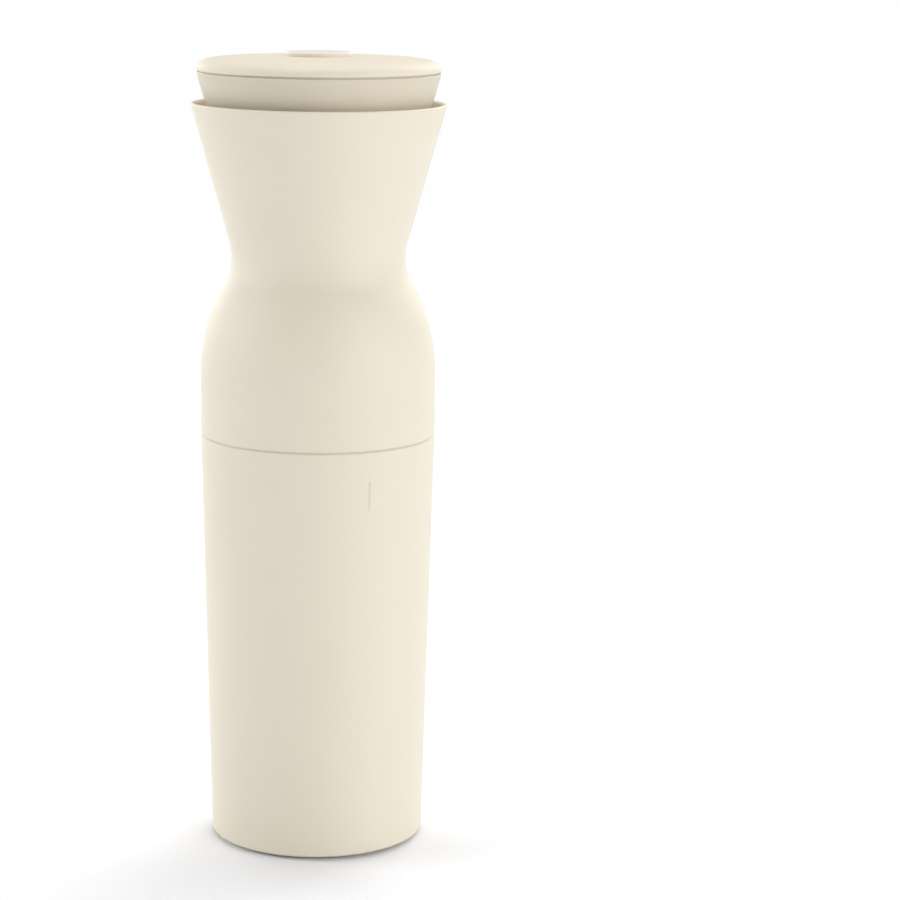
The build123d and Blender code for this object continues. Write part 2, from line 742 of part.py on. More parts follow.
# Steel ring that clamps the mesh against the neck
top_ring_radius = mesh_radius - mesh_wall - fixed_fit
with BuildPart() as filter_top_ring:
    with BuildSketch(Plane.XY.offset(mesh_top + fixed_fit - top_ring_height)):
        Circle(top_ring_radius)
        Circle(top_ring_radius - top_ring_wall, mode=Mode.SUBTRACT)
    extrude(amount=top_ring_height)
    with BuildSketch(Plane.XY.offset(mesh_top + fixed_fit)):
        Circle(neck_bore - fixed_fit)
        Circle(top_ring_radius - top_ring_wall, mode=Mode.SUBTRACT)
    extrude(amount=top_ring_wall)
filter_top_ring.part.label = "filter_top_ring"
export_step(filter_top_ring.part, "parts/filter_top_ring.step")

# Frame of ribs round the mesh
frame_bore = mesh_radius + fixed_fit
frame_radius = frame_bore + frame_wall
with BuildPart() as filter_frame:
    with BuildSketch(Plane.XY.offset(filter_bottom)) as frame_hoop:
        Circle(frame_radius)
        Circle(frame_bore, mode=Mode.SUBTRACT)
    extrude(amount=frame_ring_height)
    with BuildSketch(Plane.XY.offset(cup_neck_bottom - frame_ring_height)):
        add(frame_hoop.sketch_local)
    extrude(amount=frame_ring_height)
    with BuildSketch(Plane.XY.offset(filter_bottom)):
        with PolarLocations(frame_bore + frame_wall / 2, frame_ribs):
            Rectangle(frame_wall, frame_rib_width)
    extrude(amount=cup_neck_bottom - filter_bottom)
filter_frame.part.label = "filter_frame"
export_step(filter_frame.part, "parts/filter_frame.step")

# Spoked base of the filter, which carries the mesh floor and the rod tube
rod_tube_bore = rod_radius + rod_tube_gap
tube_radius = rod_tube_bore + rod_tube_wall
with BuildPart() as filter_base:
    with BuildSketch(Plane.XY.offset(base_bottom)):
        Circle(frame_radius)
        Circle(frame_radius - base_rim_width, mode=Mode.SUBTRACT)
        Circle(base_hub_radius)
        with PolarLocations(frame_radius / 2, base_spokes):
            Rectangle(frame_radius - base_rim_width / 2, base_spoke_width)
        Circle(tube_radius + fixed_fit, mode=Mode.SUBTRACT)
    extrude(amount=filter_base_thickness)
filter_base.part.label = "filter_base"
export_step(filter_base.part, "parts/filter_base.step")

# Mesh floor
with BuildPart() as mesh_disc:
    with BuildSketch(Plane.XY.offset(filter_bottom)):
        Circle(mesh_radius)
        Circle(tube_radius + fixed_fit, mode=Mode.SUBTRACT)
    extrude(amount=mesh_wall)
mesh_disc.part.label = "mesh_disc"
export_step(mesh_disc.part, "parts/mesh_disc.step")

# Tube that leads the push rod through the coffee grounds
rod_tube_top = rim_height - rod_tube_drop
with BuildPart() as rod_tube:
    with BuildSketch(Plane.XY.offset(base_bottom)):
        Circle(tube_radius)
        Circle(rod_tube_bore, mode=Mode.SUBTRACT)
    extrude(amount=rod_tube_top - base_bottom)
    with BuildSketch(Plane.XY.offset(mesh_floor)):
        Circle(base_hub_radius)
        Circle(rod_tube_bore, mode=Mode.SUBTRACT)
    extrude(amount=rod_tube_wall)
rod_tube.part.label = "rod_tube"
export_step(rod_tube.part, "parts/rod_tube.step")

# Bush in the top of the tube
with BuildPart() as tube_bush:
    with BuildSketch(Plane.XY.offset(rod_tube_top)):
        Circle(tube_radius + bush_flange)
    extrude(amount=bush_flange_thickness)
    with BuildSketch(Plane.XY.offset(rod_tube_top)):
        Circle(rod_tube_bore - fixed_fit)
    extrude(amount=-bush_height)
    with BuildSketch(Plane.XY.offset(rod_tube_top - bush_height)):
        Circle(rod_radius + running_fit)
    extrude(amount=bush_height + bush_flange_thickness, mode=Mode.SUBTRACT)
tube_bush.part.label = "tube_bush"
export_step(tube_bush.part, "parts/tube_bush.step")

# ================================================================ lid
lid_radius = funnel_radius(cup_top, cup_inset) + lid_overhang
lid_bottom = cup_top + lid_seam
lid_flange_top = cup_top + lid_flange_thickness
lid_side_top = lid_bottom + lid_edge_height
lid_shoulder = lid_side_top + lid_edge_drop
lid_top = lid_shoulder + lid_dome
lid_roof = lid_top - lid_wall
button_top = lid_top + button_proud
button_skirt_bottom = button_top - button_height
stop_top = button_skirt_bottom + button_stop_height
button_bore = button_radius + button_gap
sleeve_radius = button_bore + sleeve_thickness
sleeve_bottom = stop_top + seat_gap
lid_flange_radius = funnel_radius(cup_top, cup_bore_inset) + lid_flange_width
skirt_bore = lid_flange_radius + fixed_fit

# Disc of the lid, with a round edge, a shallow dome and a sleeve for the button
with BuildPart() as lid_cover:
    with BuildSketch(Plane.XZ):
        with BuildLine():
            edge_turn = sin(pi / 4)
            edge_start = (lid_radius, lid_side_top)
            edge_middle = (
                lid_radius - lid_edge_reach * (1 - edge_turn),
                lid_side_top + lid_edge_drop * edge_turn,
            )
            edge_end = (lid_radius - lid_edge_reach, lid_shoulder)
            Polyline(
                (skirt_bore, lid_bottom),
                (lid_radius - lid_underside_round, lid_bottom),
                (lid_radius, lid_bottom + lid_underside_round),
                edge_start,
            )
            ThreePointArc(edge_start, edge_middle, edge_end)
            Polyline(
                edge_end,
                (button_bore, lid_top),
                (button_bore, sleeve_bottom),
                (sleeve_radius, sleeve_bottom),
                (sleeve_radius, lid_roof),
                (lid_radius - lid_edge_reach, lid_roof - lid_dome),
                (lid_radius - lid_edge_reach, lid_flange_top),
                (skirt_bore, lid_flange_top),
                (skirt_bore, lid_bottom),
            )
        make_face()
    revolve(axis=Axis.Z)
lid_cover.part.label = "lid_cover"
export_step(lid_cover.part, "parts/lid_cover.step")

# Underside of the lid: a dish in the cup, with a flange on its edge and a guide for the rod
lid_base_inset = cup_bore_inset + lid_base_gap
lid_base_bottom = cup_top - lid_base_depth
lid_base_floor = lid_base_bottom + lid_base_wall
lid_seal_bottom = cup_top - lid_seal_drop - lid_seal_height
rod_guide_bottom = lid_base_bottom - rod_guide_length
guide_bore = rod_radius + rod_guide_gap
guide_radius = guide_bore + rod_guide_wall
with BuildPart() as lid_base:
    with BuildSketch(Plane.XZ):
        with BuildLine():
            dish_inset = lid_base_inset + lid_base_wall
            Polyline(
                (guide_bore, rod_guide_bottom),
                (guide_radius, rod_guide_bottom),
                (guide_radius, lid_base_bottom),
                (funnel_radius(lid_base_bottom, lid_base_inset), lid_base_bottom),
                (funnel_radius(cup_top, lid_base_inset), cup_top),
                (lid_flange_radius, cup_top),
                (lid_flange_radius, lid_flange_top),
                (funnel_radius(lid_flange_top, dish_inset), lid_flange_top),
                (funnel_radius(lid_base_floor, dish_inset), lid_base_floor),
                (guide_bore, lid_base_floor),
                close=True,
            )
        make_face()
        with BuildLine():
            draw_cone_band(
                lid_base_inset,
                lid_base_inset + lid_seal_depth,
                lid_seal_bottom,
                lid_seal_bottom + lid_seal_height,
            )
        make_face(mode=Mode.SUBTRACT)
    revolve(axis=Axis.Z)
    with BuildSketch(Plane.XY.offset(rod_guide_bottom)):
        Circle(guide_bore + rod_seal_depth)
    extrude(amount=rod_seal_height, mode=Mode.SUBTRACT)
lid_base.part.label = "lid_base"
export_step(lid_base.part, "parts/lid_base.step")

# Silicone ring round the dish, against the inside of the cup
with BuildPart() as lid_seal:
    with BuildSketch(Plane.XZ):
        with BuildLine():
            draw_cone_band(
                cup_bore_inset + seat_gap,
                lid_base_inset + lid_seal_depth - fixed_fit,
                lid_seal_bottom + fixed_fit,
                lid_seal_bottom + lid_seal_height - fixed_fit,
            )
        make_face()
    revolve(axis=Axis.Z)
lid_seal.part.label = "lid_seal"
export_step(lid_seal.part, "parts/lid_seal.step")

# Wiper in the end of the rod guide
with BuildPart() as rod_seal:
    with BuildSketch(Plane.XY.offset(rod_guide_bottom)):
        Circle(guide_bore + rod_seal_depth - fixed_fit)
        Circle(rod_radius + running_fit, mode=Mode.SUBTRACT)
    extrude(amount=rod_seal_height - fixed_fit)
rod_seal.part.label = "rod_seal"
export_step(rod_seal.part, "parts/rod_seal.step")

# ================================================================ push button
button_roof = button_top - button_top_wall
rod_top = button_roof - hub_roof
hub_bore = rod_radius + fixed_fit
hub_radius = hub_bore + hub_wall
hub_bottom = lid_base_floor + button_travel + seat_gap

# Button cap, with a stop under the sleeve of the lid and a hub for the rod
with BuildPart() as push_button:
    with BuildSketch(Plane.XZ):
        with BuildLine():
            stop_radius = button_radius + button_stop_width
            skirt_inner = button_radius - button_side_wall
            Polyline(
                (0, button_top),
                (button_radius, button_top),
                (button_radius, stop_top),
                (stop_radius, stop_top),
                (stop_radius, button_skirt_bottom),
                (skirt_inner, button_skirt_bottom),
                (skirt_inner, button_roof),
                (hub_radius, button_roof),
                (hub_radius, hub_bottom),
                (hub_bore, hub_bottom),
                (hub_bore, rod_top + fixed_fit),
                (0, rod_top + fixed_fit),
                close=True,
            )
        make_face()
    revolve(axis=Axis.Z)
    fillet(push_button.edges().group_by(Axis.Z)[-1], radius=button_round)
push_button.part.label = "push_button"
export_step(push_button.part, "parts/push_button.step")

# Push rod from the button to the valve, with a spigot for its tip
tip_bottom = pad_top + push_gap
tip_top = tip_bottom + tip_height
with BuildPart() as push_rod:
    with BuildSketch(Plane.XY.offset(tip_top)):
        Circle(rod_radius)
    extrude(amount=rod_top - tip_top)
    chamfer(push_rod.edges().group_by(Axis.Z)[-1], length=rod_chamfer)
    with BuildSketch(Plane.XY.offset(tip_top)):
        Circle(spigot_radius)
    extrude(amount=-spigot_length)
push_rod.part.label = "push_rod"
export_step(push_rod.part, "parts/push_rod.step")

# Soft tip on the end of the rod, no wider than the rod, so that it passes through the bush
with BuildPart() as rod_tip:
    with BuildSketch(Plane.XY.offset(tip_bottom)):
        Circle(rod_radius)
    extrude(amount=tip_height)
    fillet(rod_tip.edges().group_by(Axis.Z)[0], radius=tip_round)
    with BuildSketch(Plane.XY.offset(tip_top)):
        Circle(spigot_radius + fixed_fit)
    extrude(amount=-spigot_length, mode=Mode.SUBTRACT)
rod_tip.part.label = "rod_tip"
export_step(rod_tip.part, "parts/rod_tip.step")

# Spring between the dish of the lid and the button
button_spring_path = spring_path(
    button_spring_radius, button_spring_wire + fixed_fit, button_spring_turns, lid_base_floor, button_roof
)
with BuildPart() as button_spring:
    with BuildSketch(button_spring_path ^ 0):
        Circle(button_spring_wire)
    sweep(path=button_spring_path)
button_spring.part.label = "button_spring"
export_step(button_spring.part, "parts/button_spring.step")
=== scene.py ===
"""Cold brew coffee maker: the finished look of the carafe, brewer, filter cup, lid and button.

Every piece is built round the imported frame, in metres. Sizes that the frame doesn't give are fields
of the sub-assemblies, in millimetres. An outline is a list of (radius, height, rounding) corners
that is turned about the upright axis.
"""

import logging
import math
from dataclasses import dataclass
from enum import Enum
from functools import lru_cache
from typing import Callable, Mapping, Sequence, Union

import bmesh
import bpy
from mathutils import Matrix, Vector


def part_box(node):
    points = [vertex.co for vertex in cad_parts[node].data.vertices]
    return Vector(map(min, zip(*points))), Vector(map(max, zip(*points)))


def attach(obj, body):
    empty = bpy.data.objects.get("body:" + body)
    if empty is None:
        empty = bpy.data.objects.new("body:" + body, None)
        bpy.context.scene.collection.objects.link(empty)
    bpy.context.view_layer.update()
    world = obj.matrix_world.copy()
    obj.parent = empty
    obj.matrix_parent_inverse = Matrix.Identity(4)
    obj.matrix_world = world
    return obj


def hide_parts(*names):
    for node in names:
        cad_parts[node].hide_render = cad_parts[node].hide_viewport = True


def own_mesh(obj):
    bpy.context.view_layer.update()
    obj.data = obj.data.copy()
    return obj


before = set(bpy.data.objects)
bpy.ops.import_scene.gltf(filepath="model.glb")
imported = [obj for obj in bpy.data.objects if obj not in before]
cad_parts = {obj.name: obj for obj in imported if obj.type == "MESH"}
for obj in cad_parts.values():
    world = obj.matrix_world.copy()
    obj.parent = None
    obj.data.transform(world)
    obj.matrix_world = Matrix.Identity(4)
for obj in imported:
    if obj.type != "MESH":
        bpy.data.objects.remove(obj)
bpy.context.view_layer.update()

log = logging.getLogger("cold_brew_maker")

MM = 0.001
# In millimetres: corners closer than SAME_PLACE are one, and a radius below ON_AXIS is a pole.
SAME_PLACE, ON_AXIS = 0.0001, 0.000001
# Steps round the axis, from wide pieces to narrow ones.
BODY_SEGMENTS, DRAIN_SEGMENTS, TUBE_SEGMENTS, ROD_SEGMENTS = 240, 160, 120, 96
# An edge between faces that turn by more than this stays sharp.
SHARP_EDGE = math.radians(38)
# A corner that is straighter than this on each side isn't rounded. One step of a rounding turns by
# ARC_STEP at most, and there are MIN_STEPS or more.
STRAIGHT_CORNER, ARC_STEP, MIN_STEPS = math.radians(88), math.radians(14), 3
# A rounding takes at most ROUND_SHARE of the shorter side. A supporting point stands beyond each
# end of it, by SUPPORT_SHARE of its radius, or by SIDE_SHARE of the side and SUPPORT_ROOM if less.
ROUND_SHARE, SUPPORT_SHARE, SIDE_SHARE, SUPPORT_ROOM = 0.46, 0.35, 0.04, 0.02
# The pitch of a spring's closed coils, in wire radii, and the sides of a spring's and a weave's wire.
CLOSED_PITCH, COIL_SIDES, WEAVE_SIDES = 2.02, 12, 4

Point = tuple[float, float]
Corner = tuple[float, float, float]
Colour = tuple[float, float, float]
Piece = bpy.types.Object


# ------------------------------------------------------------------ sizes from the frame
def extent(node: str) -> tuple[float, float, float]:
    """Lowest height, highest height and largest radius of a turned node, in millimetres."""
    low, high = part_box(node)
    return low.z / MM, high.z / MM, high.x / MM


def bottom_of(node: str) -> float:
    """Height of a node's lowest point, in millimetres."""
    return extent(node)[0]


def top_of(node: str) -> float:
    """Height of a node's highest point, in millimetres."""
    return extent(node)[1]


def radius_of(node: str) -> float:
    """Largest radius of a turned node, in millimetres."""
    return extent(node)[2]


# ------------------------------------------------------------------ node trees
class Wire:
    """An output socket. Arithmetic on it adds Math nodes to its tree."""

    def __init__(self, tree: "Tree", socket: bpy.types.NodeSocket) -> None:
        """Holds the tree and the socket."""
        self.tree = tree
        self.socket = socket

    def _math(self, operation: str, first: "Term", second: "Term" = 0.0) -> "Wire":
        """Adds one Math node.

        Args:
            operation: The Math node's operation.
            first: The first value.
            second: The second value.

        Returns:
            The node's result.
        """
        return self.tree.node("ShaderNodeMath", {"operation": operation}, {0: first, 1: second})[0]

    def __add__(self, other: "Term") -> "Wire":
        """Returns self + other."""
        return self._math("ADD", self, other)

    def __radd__(self, other: "Term") -> "Wire":
        """Returns other + self."""
        return self._math("ADD", other, self)

    def __sub__(self, other: "Term") -> "Wire":
        """Returns self - other."""
        return self._math("SUBTRACT", self, other)

    def __rsub__(self, other: "Term") -> "Wire":
        """Returns other - self."""
        return self._math("SUBTRACT", other, self)

    def __mul__(self, other: "Term") -> "Wire":
        """Returns self * other."""
        return self._math("MULTIPLY", self, other)

    def __rmul__(self, other: "Term") -> "Wire":
        """Returns other * self."""
        return self._math("MULTIPLY", other, self)

    def __truediv__(self, other: "Term") -> "Wire":
        """Returns self / other."""
        return self._math("DIVIDE", self, other)

    def apply(self, operation: str, other: "Term" = 0.0) -> "Wire":
        """Returns any other Math operation on self, such as SINE, SQRT or MINIMUM."""
        return self._math(operation, self, other)


Term = Union[Wire, float]


class Tree:
    """A shader or geometry node tree, with one way to add a node."""

    def __init__(self, tree: bpy.types.NodeTree) -> None:
        """Holds the tree."""
        self.tree = tree

    def node(
        self,
        kind: str,
        settings: Mapping[str, object] | None = None,
        values: Mapping[int | str, object] | None = None,
    ) -> list[Wire]:
        """Adds a node, sets its settings and then its inputs.

        Args:
            kind: The node's type.
            settings: Properties of the node, set before its inputs.
            values: Input index or name, to a wire or a constant.

        Returns:
            One wire for each output of the node.
        """
        made = self.tree.nodes.new(kind)
        for name, value in (settings or {}).items():
            setattr(made, name, value)
        for key, value in (values or {}).items():
            if isinstance(value, Wire):
                self.tree.links.new(value.socket, made.inputs[key])
            else:
                made.inputs[key].default_value = value
        return [Wire(self, socket) for socket in made.outputs]

    def vector(self, x: Term = 0.0, y: Term = 0.0, z: Term = 0.0) -> Wire:
        """Returns a vector with these parts."""
        return self.node("ShaderNodeCombineXYZ", {}, {0: x, 1: y, 2: z})[0]

    def parts(self, vector: Wire) -> list[Wire]:
        """Returns the three parts of a vector."""
        return self.node("ShaderNodeSeparateXYZ", {}, {0: vector})

    def mix_colour(self, share: Term, first: object, second: object) -> Wire:
        """Returns a colour between first and second."""
        sockets = {0: share, 6: _opaque(first), 7: _opaque(second)}
        return self.node("ShaderNodeMix", {"data_type": "RGBA"}, sockets)[2]


def _opaque(colour: object) -> object:
    """Adds alpha 1 to a constant colour, and leaves a wire as it is."""
    return (*colour, 1.0) if isinstance(colour, tuple) else colour


# ------------------------------------------------------------------ finishes
class Grain(Enum):
    """Which way a metal was worked."""

    TURNED = "lines round the axis"
    DRAWN = "lines along the axis"


class ShaderTree(Tree):
    """The node tree of a new material with a Principled surface."""

    def __init__(self, name: str) -> None:
        """Makes the material and clears its tree."""
        self.material = bpy.data.materials.new(name)
        self.material.use_nodes = True
        super().__init__(self.material.node_tree)
        self.tree.nodes.clear()
        self.place = self.node("ShaderNodeTexCoord")[3]

    def noise(self, scale: float, detail: float = 2.0, vector: Wire | None = None) -> Wire:
        """Returns noise from 0 to 1.

        Args:
            scale: Features per metre, roughly.
            detail: Octaves of finer noise.
            vector: Where it is read, the object's own coordinates by default.

        Returns:
            The noise value.
        """
        values = {"Vector": vector or self.place, "Scale": scale, "Detail": detail}
        return self.node("ShaderNodeTexNoise", {}, values)[0]

    def bump(
        self, height: Wire, distance: float, strength: float, normal: Wire | None = None
    ) -> Wire:
        """Returns a normal bent by a height, on top of another normal if one is given."""
        values = {"Height": height, "Distance": distance, "Strength": strength}
        if normal is not None:
            values["Normal"] = normal
        return self.node("ShaderNodeBump", {}, values)[0]

    def surface(self, values: Mapping[int | str, object]) -> bpy.types.Material:
        """Ends the tree in a Principled surface with these inputs and returns the material."""
        shader = self.node("ShaderNodeBsdfPrincipled", {}, values)[0]
        self.node("ShaderNodeOutputMaterial", {}, {"Surface": shader})
        return self.material


def scaled(colour: Colour, share: float) -> Colour:
    """Returns a colour made lighter or darker by a share."""
    return tuple(channel * share for channel in colour)


@dataclass(frozen=True)
class MatteSkin:
    """A matte coat or moulded plastic: soft drift of tone, fine grain and a faint orange peel.

    An optional mesh attribute says where the coat is painted a shade darker: painted shade in a
    recess.
    """

    name: str
    colour: Colour
    roughness: float = 0.52
    drift: float = 0.012
    drift_scale: float = 38.0
    grain: float = 0.018
    grain_scale: float = 2600.0
    peel_scale: float = 620.0
    peel_depth: float = 0.000012
    grain_depth: float = 0.000004
    specular: float = 0.42
    grain_shade: float = 0.55
    peel_gloss: float = 0.10
    grain_gloss: float = 0.06
    # Painted shade: the mesh attribute that says where, and the share of the colour that it leaves
    # there.
    painted_shade: str = ""
    painted_shade_tone: float = 0.905

    def make(self) -> bpy.types.Material:
        """Returns the material."""
        shader = ShaderTree(self.name)
        tone = shader.noise(self.drift_scale, 3.0)
        grain = shader.noise(self.grain_scale, 2.0)
        peel = shader.noise(self.peel_scale, 2.0)
        dark, light = scaled(self.colour, 1 - self.drift), scaled(self.colour, 1 + self.drift)
        drifted, deep = shader.mix_colour(tone, dark, light), scaled(self.colour, self.grain_shade)
        shaded = shader.mix_colour(grain * (2 * self.grain), drifted, deep)
        # Painted shade: darker where the attribute says, standing for shade in a recess.
        if self.painted_shade:
            groove_shaded = shader.node("ShaderNodeAttribute", {"attribute_name": self.painted_shade})[2]
            shaded = shader.mix_colour(groove_shaded, shaded, scaled(self.colour, self.painted_shade_tone))
        skin = shader.bump(peel, self.peel_depth, 0.6)
        gloss = (peel - 0.5) * self.peel_gloss + (grain - 0.5) * self.grain_gloss
        return shader.surface(
            {
                "Base Color": shaded,
                "Roughness": gloss + self.roughness,
                "Specular IOR Level": self.specular,
                "Normal": shader.bump(grain, self.grain_depth, 0.5, skin),
            }
        )


@dataclass(frozen=True)
class Silicone:
    """Soft rubber: satin, slightly dusty, with a very fine skin."""

    name: str
    colour: Colour
    roughness: float = 0.58
    dust_scale: float = 900.0
    dust_from: float = 0.52
    dust_gain: float = 2.2
    dust_shade: float = 1.5
    dust_gloss: float = 0.10
    cloud_scale: float = 60.0
    cloud_share: float = 0.6
    cloud_shade: float = 1.12
    cloud_gloss: float = 0.14
    skin_scale: float = 3800.0
    skin_depth: float = 0.000006

    def make(self) -> bpy.types.Material:
        """Returns the material."""
        shader = ShaderTree(self.name)
        dust = shader.noise(self.dust_scale, 4.0)
        skin = shader.noise(self.skin_scale, 1.0)
        cloud = shader.noise(self.cloud_scale, 3.0)
        dusty = (dust - self.dust_from).apply("MAXIMUM", 0.0) * self.dust_gain
        cloudy = scaled(self.colour, self.cloud_shade)
        base = shader.mix_colour(cloud * self.cloud_share, self.colour, cloudy)
        gloss = (cloud - 0.5) * self.cloud_gloss + (dust - 0.5) * self.dust_gloss
        return shader.surface(
            {
                "Base Color": shader.mix_colour(dusty, base, scaled(self.colour, self.dust_shade)),
                "Roughness": gloss + self.roughness,
                "Specular IOR Level": 0.35,
                "Normal": shader.bump(skin, self.skin_depth, 0.5),
            }
        )


@dataclass(frozen=True)
class WorkedSteel:
    """Stainless steel with the fine lines of turning or drawing."""

    name: str
    grain: Grain
    colour: Colour = (0.75, 0.74, 0.72)
    roughness: float = 0.27
    line_scale: float = 5200.0
    along_scale: float = 35.0
    smudge_scale: float = 48.0
    line_depth: float = 0.000006
    line_shades: Point = (0.86, 1.1)
    line_gloss: float = 0.22
    smudge_gloss: float = 0.18

    def make(self) -> bpy.types.Material:
        """Returns the material."""
        shader = ShaderTree(self.name)
        x, y, z = shader.parts(shader.place)
        radius = (x * x + y * y).apply("SQRT")
        fast, slow = self.line_scale, self.along_scale
        if self.grain is Grain.TURNED:
            lines_at = shader.vector(x * slow, y * slow, (radius + z) * fast)
        else:
            lines_at = shader.vector(x * fast, y * fast, z * slow)
        lines = shader.noise(1.0, 3.0, lines_at)
        smudge = shader.noise(self.smudge_scale, 4.0)
        dark, light = (scaled(self.colour, shade) for shade in self.line_shades)
        gloss = (lines - 0.5) * self.line_gloss + (smudge - 0.5) * self.smudge_gloss
        return shader.surface(
            {
                "Base Color": shader.mix_colour(lines, dark, light),
                "Metallic": 1.0,
                "Roughness": gloss + self.roughness,
                "Normal": shader.bump(lines, self.line_depth, 0.45),
            }
        )


@dataclass(frozen=True)
class FineScreen:
    """The fine steel screen inside the woven support: a tight grid of wires, painted darker between
    them as painted shade.
    """

    name: str
    flat: bool = False
    sleeve_radius: float = 0.0248
    pitch: float = 0.00042
    colour: Colour = (0.55, 0.54, 0.52)
    gap_painted_shade: float = 0.25
    dirt_scale: float = 90.0
    dirt_share: float = 0.25
    dirt_shade: float = 0.5
    roughness: float = 0.55
    wire_gloss: float = 0.2
    wire_depth: float = 0.00006

    def make(self) -> bpy.types.Material:
        """Returns the material."""
        shader = ShaderTree(self.name)
        x, y, z = shader.parts(shader.place)
        first, second = (x, y) if self.flat else (y.apply("ARCTAN2", x) * self.sleeve_radius, z)
        cycle = 2 * math.pi / self.pitch
        weave = (first * cycle).apply("SINE") * (second * cycle).apply("SINE")
        height = weave * 0.5 + 0.5
        dirt = shader.noise(self.dirt_scale, 4.0)
        # Painted shade: the low parts of the weave, between and under the wires, are darkened.
        tone = shader.mix_colour(height, scaled(self.colour, self.gap_painted_shade), self.colour)
        dirty = scaled(self.colour, self.dirt_shade)
        return shader.surface(
            {
                "Base Color": shader.mix_colour(dirt * self.dirt_share, tone, dirty),
                "Metallic": 0.9,
                "Roughness": self.roughness - height * self.wire_gloss,
                "Normal": shader.bump(height, self.wire_depth, 0.7),
            }
        )


@dataclass(frozen=True)
class StudioPaper:
    """The plain pale floor."""

    name: str
    colour: Colour
    fibre_scale: float = 260.0
    fibre_shade: float = 0.995

    def make(self) -> bpy.types.Material:
        """Returns the material."""
        shader = ShaderTree(self.name)
        fibre = shader.noise(self.fibre_scale, 3.0)
        tone = shader.mix_colour(fibre, scaled(self.colour, self.fibre_shade), self.colour)
        return shader.surface({"Base Color": tone, "Roughness": 0.9, "Specular IOR Level": 0.1})


@lru_cache(maxsize=None)
def made(finish: "Finish") -> bpy.types.Material:
    """Returns the material of a finish, which is made once."""
    return finish.make()


Finish = Union[MatteSkin, Silicone, WorkedSteel, FineScreen, StudioPaper]

CREAM = (0.725, 0.667, 0.548)
CREAM_COAT = MatteSkin("cream_powder_coat", CREAM)
CREAM_SHELL = MatteSkin("cream_moulded_shell", CREAM, roughness=0.50, peel_scale=520.0)
# The carafe's coat, with painted shade in the sunk index line.
CREAM_INDEX_SHADED = MatteSkin("cream_coat_index_painted_shade", CREAM, painted_shade="index_line_painted_shade")
CREAM_CUP = MatteSkin("cream_moulded_cup", (0.63, 0.568, 0.45), roughness=0.50, peel_scale=520.0)
CREAM_LID = MatteSkin(
    "cream_moulded_lid", (0.722, 0.653, 0.531), roughness=0.54, peel_scale=480.0, specular=0.35
)
CREAM_BUTTON = MatteSkin(
    "cream_button", (0.73, 0.667, 0.589), grain=0.008, peel_depth=0.000006, specular=0.7
)
IVORY = MatteSkin(
    "ivory_moulding", (0.60, 0.555, 0.455), roughness=0.45, grain=0.01, peel_depth=0.000008
)
DARK = MatteSkin("dark_moulding", (0.035, 0.033, 0.031), roughness=0.48, grain=0.05)
RUBBER = Silicone("grey_silicone", (0.145, 0.135, 0.118))
CREAM_RUBBER = Silicone("cream_silicone", (0.60, 0.55, 0.45))
STEEL = WorkedSteel("turned_steel", Grain.TURNED)
ROD_STEEL = WorkedSteel("drawn_steel", Grain.DRAWN, roughness=0.2)
WIRE_STEEL = WorkedSteel("wire_steel", Grain.TURNED, (0.5, 0.49, 0.47), 0.34, 900.0)
SCREEN = FineScreen("fine_screen")
FLAT_SCREEN = FineScreen("flat_fine_screen", flat=True)
PAPER = StudioPaper("studio_paper", (0.948, 0.952, 0.974))


# ------------------------------------------------------------------ outlines and turned meshes
class Outline:
    """An outline in (radius, height), in millimetres, whose corners may be rounded."""

    def __init__(self, *corners: tuple[float, ...]) -> None:
        """Starts from corners given as (radius, height) or (radius, height, rounding)."""
        self.knots: list[Corner] = []
        self.add(*corners)

    def add(self, *corners: tuple[float, ...]) -> "Outline":
        """Adds corners, and returns the outline."""
        for corner in corners:
            self.corner(*corner)
        return self

    def corner(self, radius: float, height: float, rounding: float = 0.0) -> "Outline":
        """Adds a corner, unless it is where the last one is, and returns the outline."""
        if not self.knots or math.dist(self.knots[-1][:2], (radius, height)) > SAME_PLACE:
            self.knots.append((radius, height, rounding))
        return self

    def arc(self, centre: Point, radius: float, start: float, end: float, steps: int) -> "Outline":
        """Adds an arc.

        Args:
            centre: The arc's centre.
            radius: The arc's radius.
            start: The first angle, in radians from the outward direction.
            end: The last angle.
            steps: How many straight steps it takes.

        Returns:
            The outline.
        """
        for step in range(steps + 1):
            angle = start + (end - start) * step / steps
            self.corner(centre[0] + radius * math.cos(angle), centre[1] + radius * math.sin(angle))
        return self

    def bulge(self, end: Point, rise: float, steps: int = 12) -> "Outline":
        """Adds an arc from the last corner to end.

        Args:
            end: Where the arc ends.
            rise: How far its middle stands to the right of the straight way, looking along it.
            steps: How many straight steps it takes.

        Returns:
            The outline.
        """
        start = Vector(self.knots[-1][:2])
        finish = Vector(end)
        way = (finish - start) / 2
        right = Vector((way.y, -way.x)).normalized()
        radius = (way.length_squared + rise**2) / (2 * abs(rise))
        centre = start + way + right * (rise - math.copysign(radius, rise))
        first, last = start - centre, finish - centre
        turn = first.angle_signed(last)
        for step in range(1, steps):
            spoke = first.copy()
            spoke.rotate(Matrix.Rotation(-turn * step / steps, 2))
            self.corner(*(centre + spoke))
        return self.corner(*end)

    def down(self, other: "Outline") -> "Outline":
        """Adds another outline's corners from its last to its first."""
        self.knots.extend(reversed(other.knots))
        return self

    def points(self, closed: bool) -> list[Point]:
        """Returns the outline's points, with each rounded corner turned into an arc."""
        result: list[Point] = []
        count = len(self.knots)
        for index, (radius, height, rounding) in enumerate(self.knots):
            at_end = not closed and index in (0, count - 1)
            if rounding <= 0 or at_end:
                result.append((radius, height))
                continue
            before = Vector(self.knots[index - 1][:2])
            after = Vector(self.knots[(index + 1) % count][:2])
            result.extend(_rounded(Vector((radius, height)), before, after, rounding))
        return result


def block(inner: float, outer: float, low: float, high: float, *rounds: float) -> Outline:
    """Returns a section with four corners, whose roundings run from the inner foot outwards."""
    foot_in, foot_out, top_out, top_in = rounds
    outline = Outline((inner, low, foot_in), (outer, low, foot_out))
    return outline.add((outer, high, top_out), (inner, high, top_in))


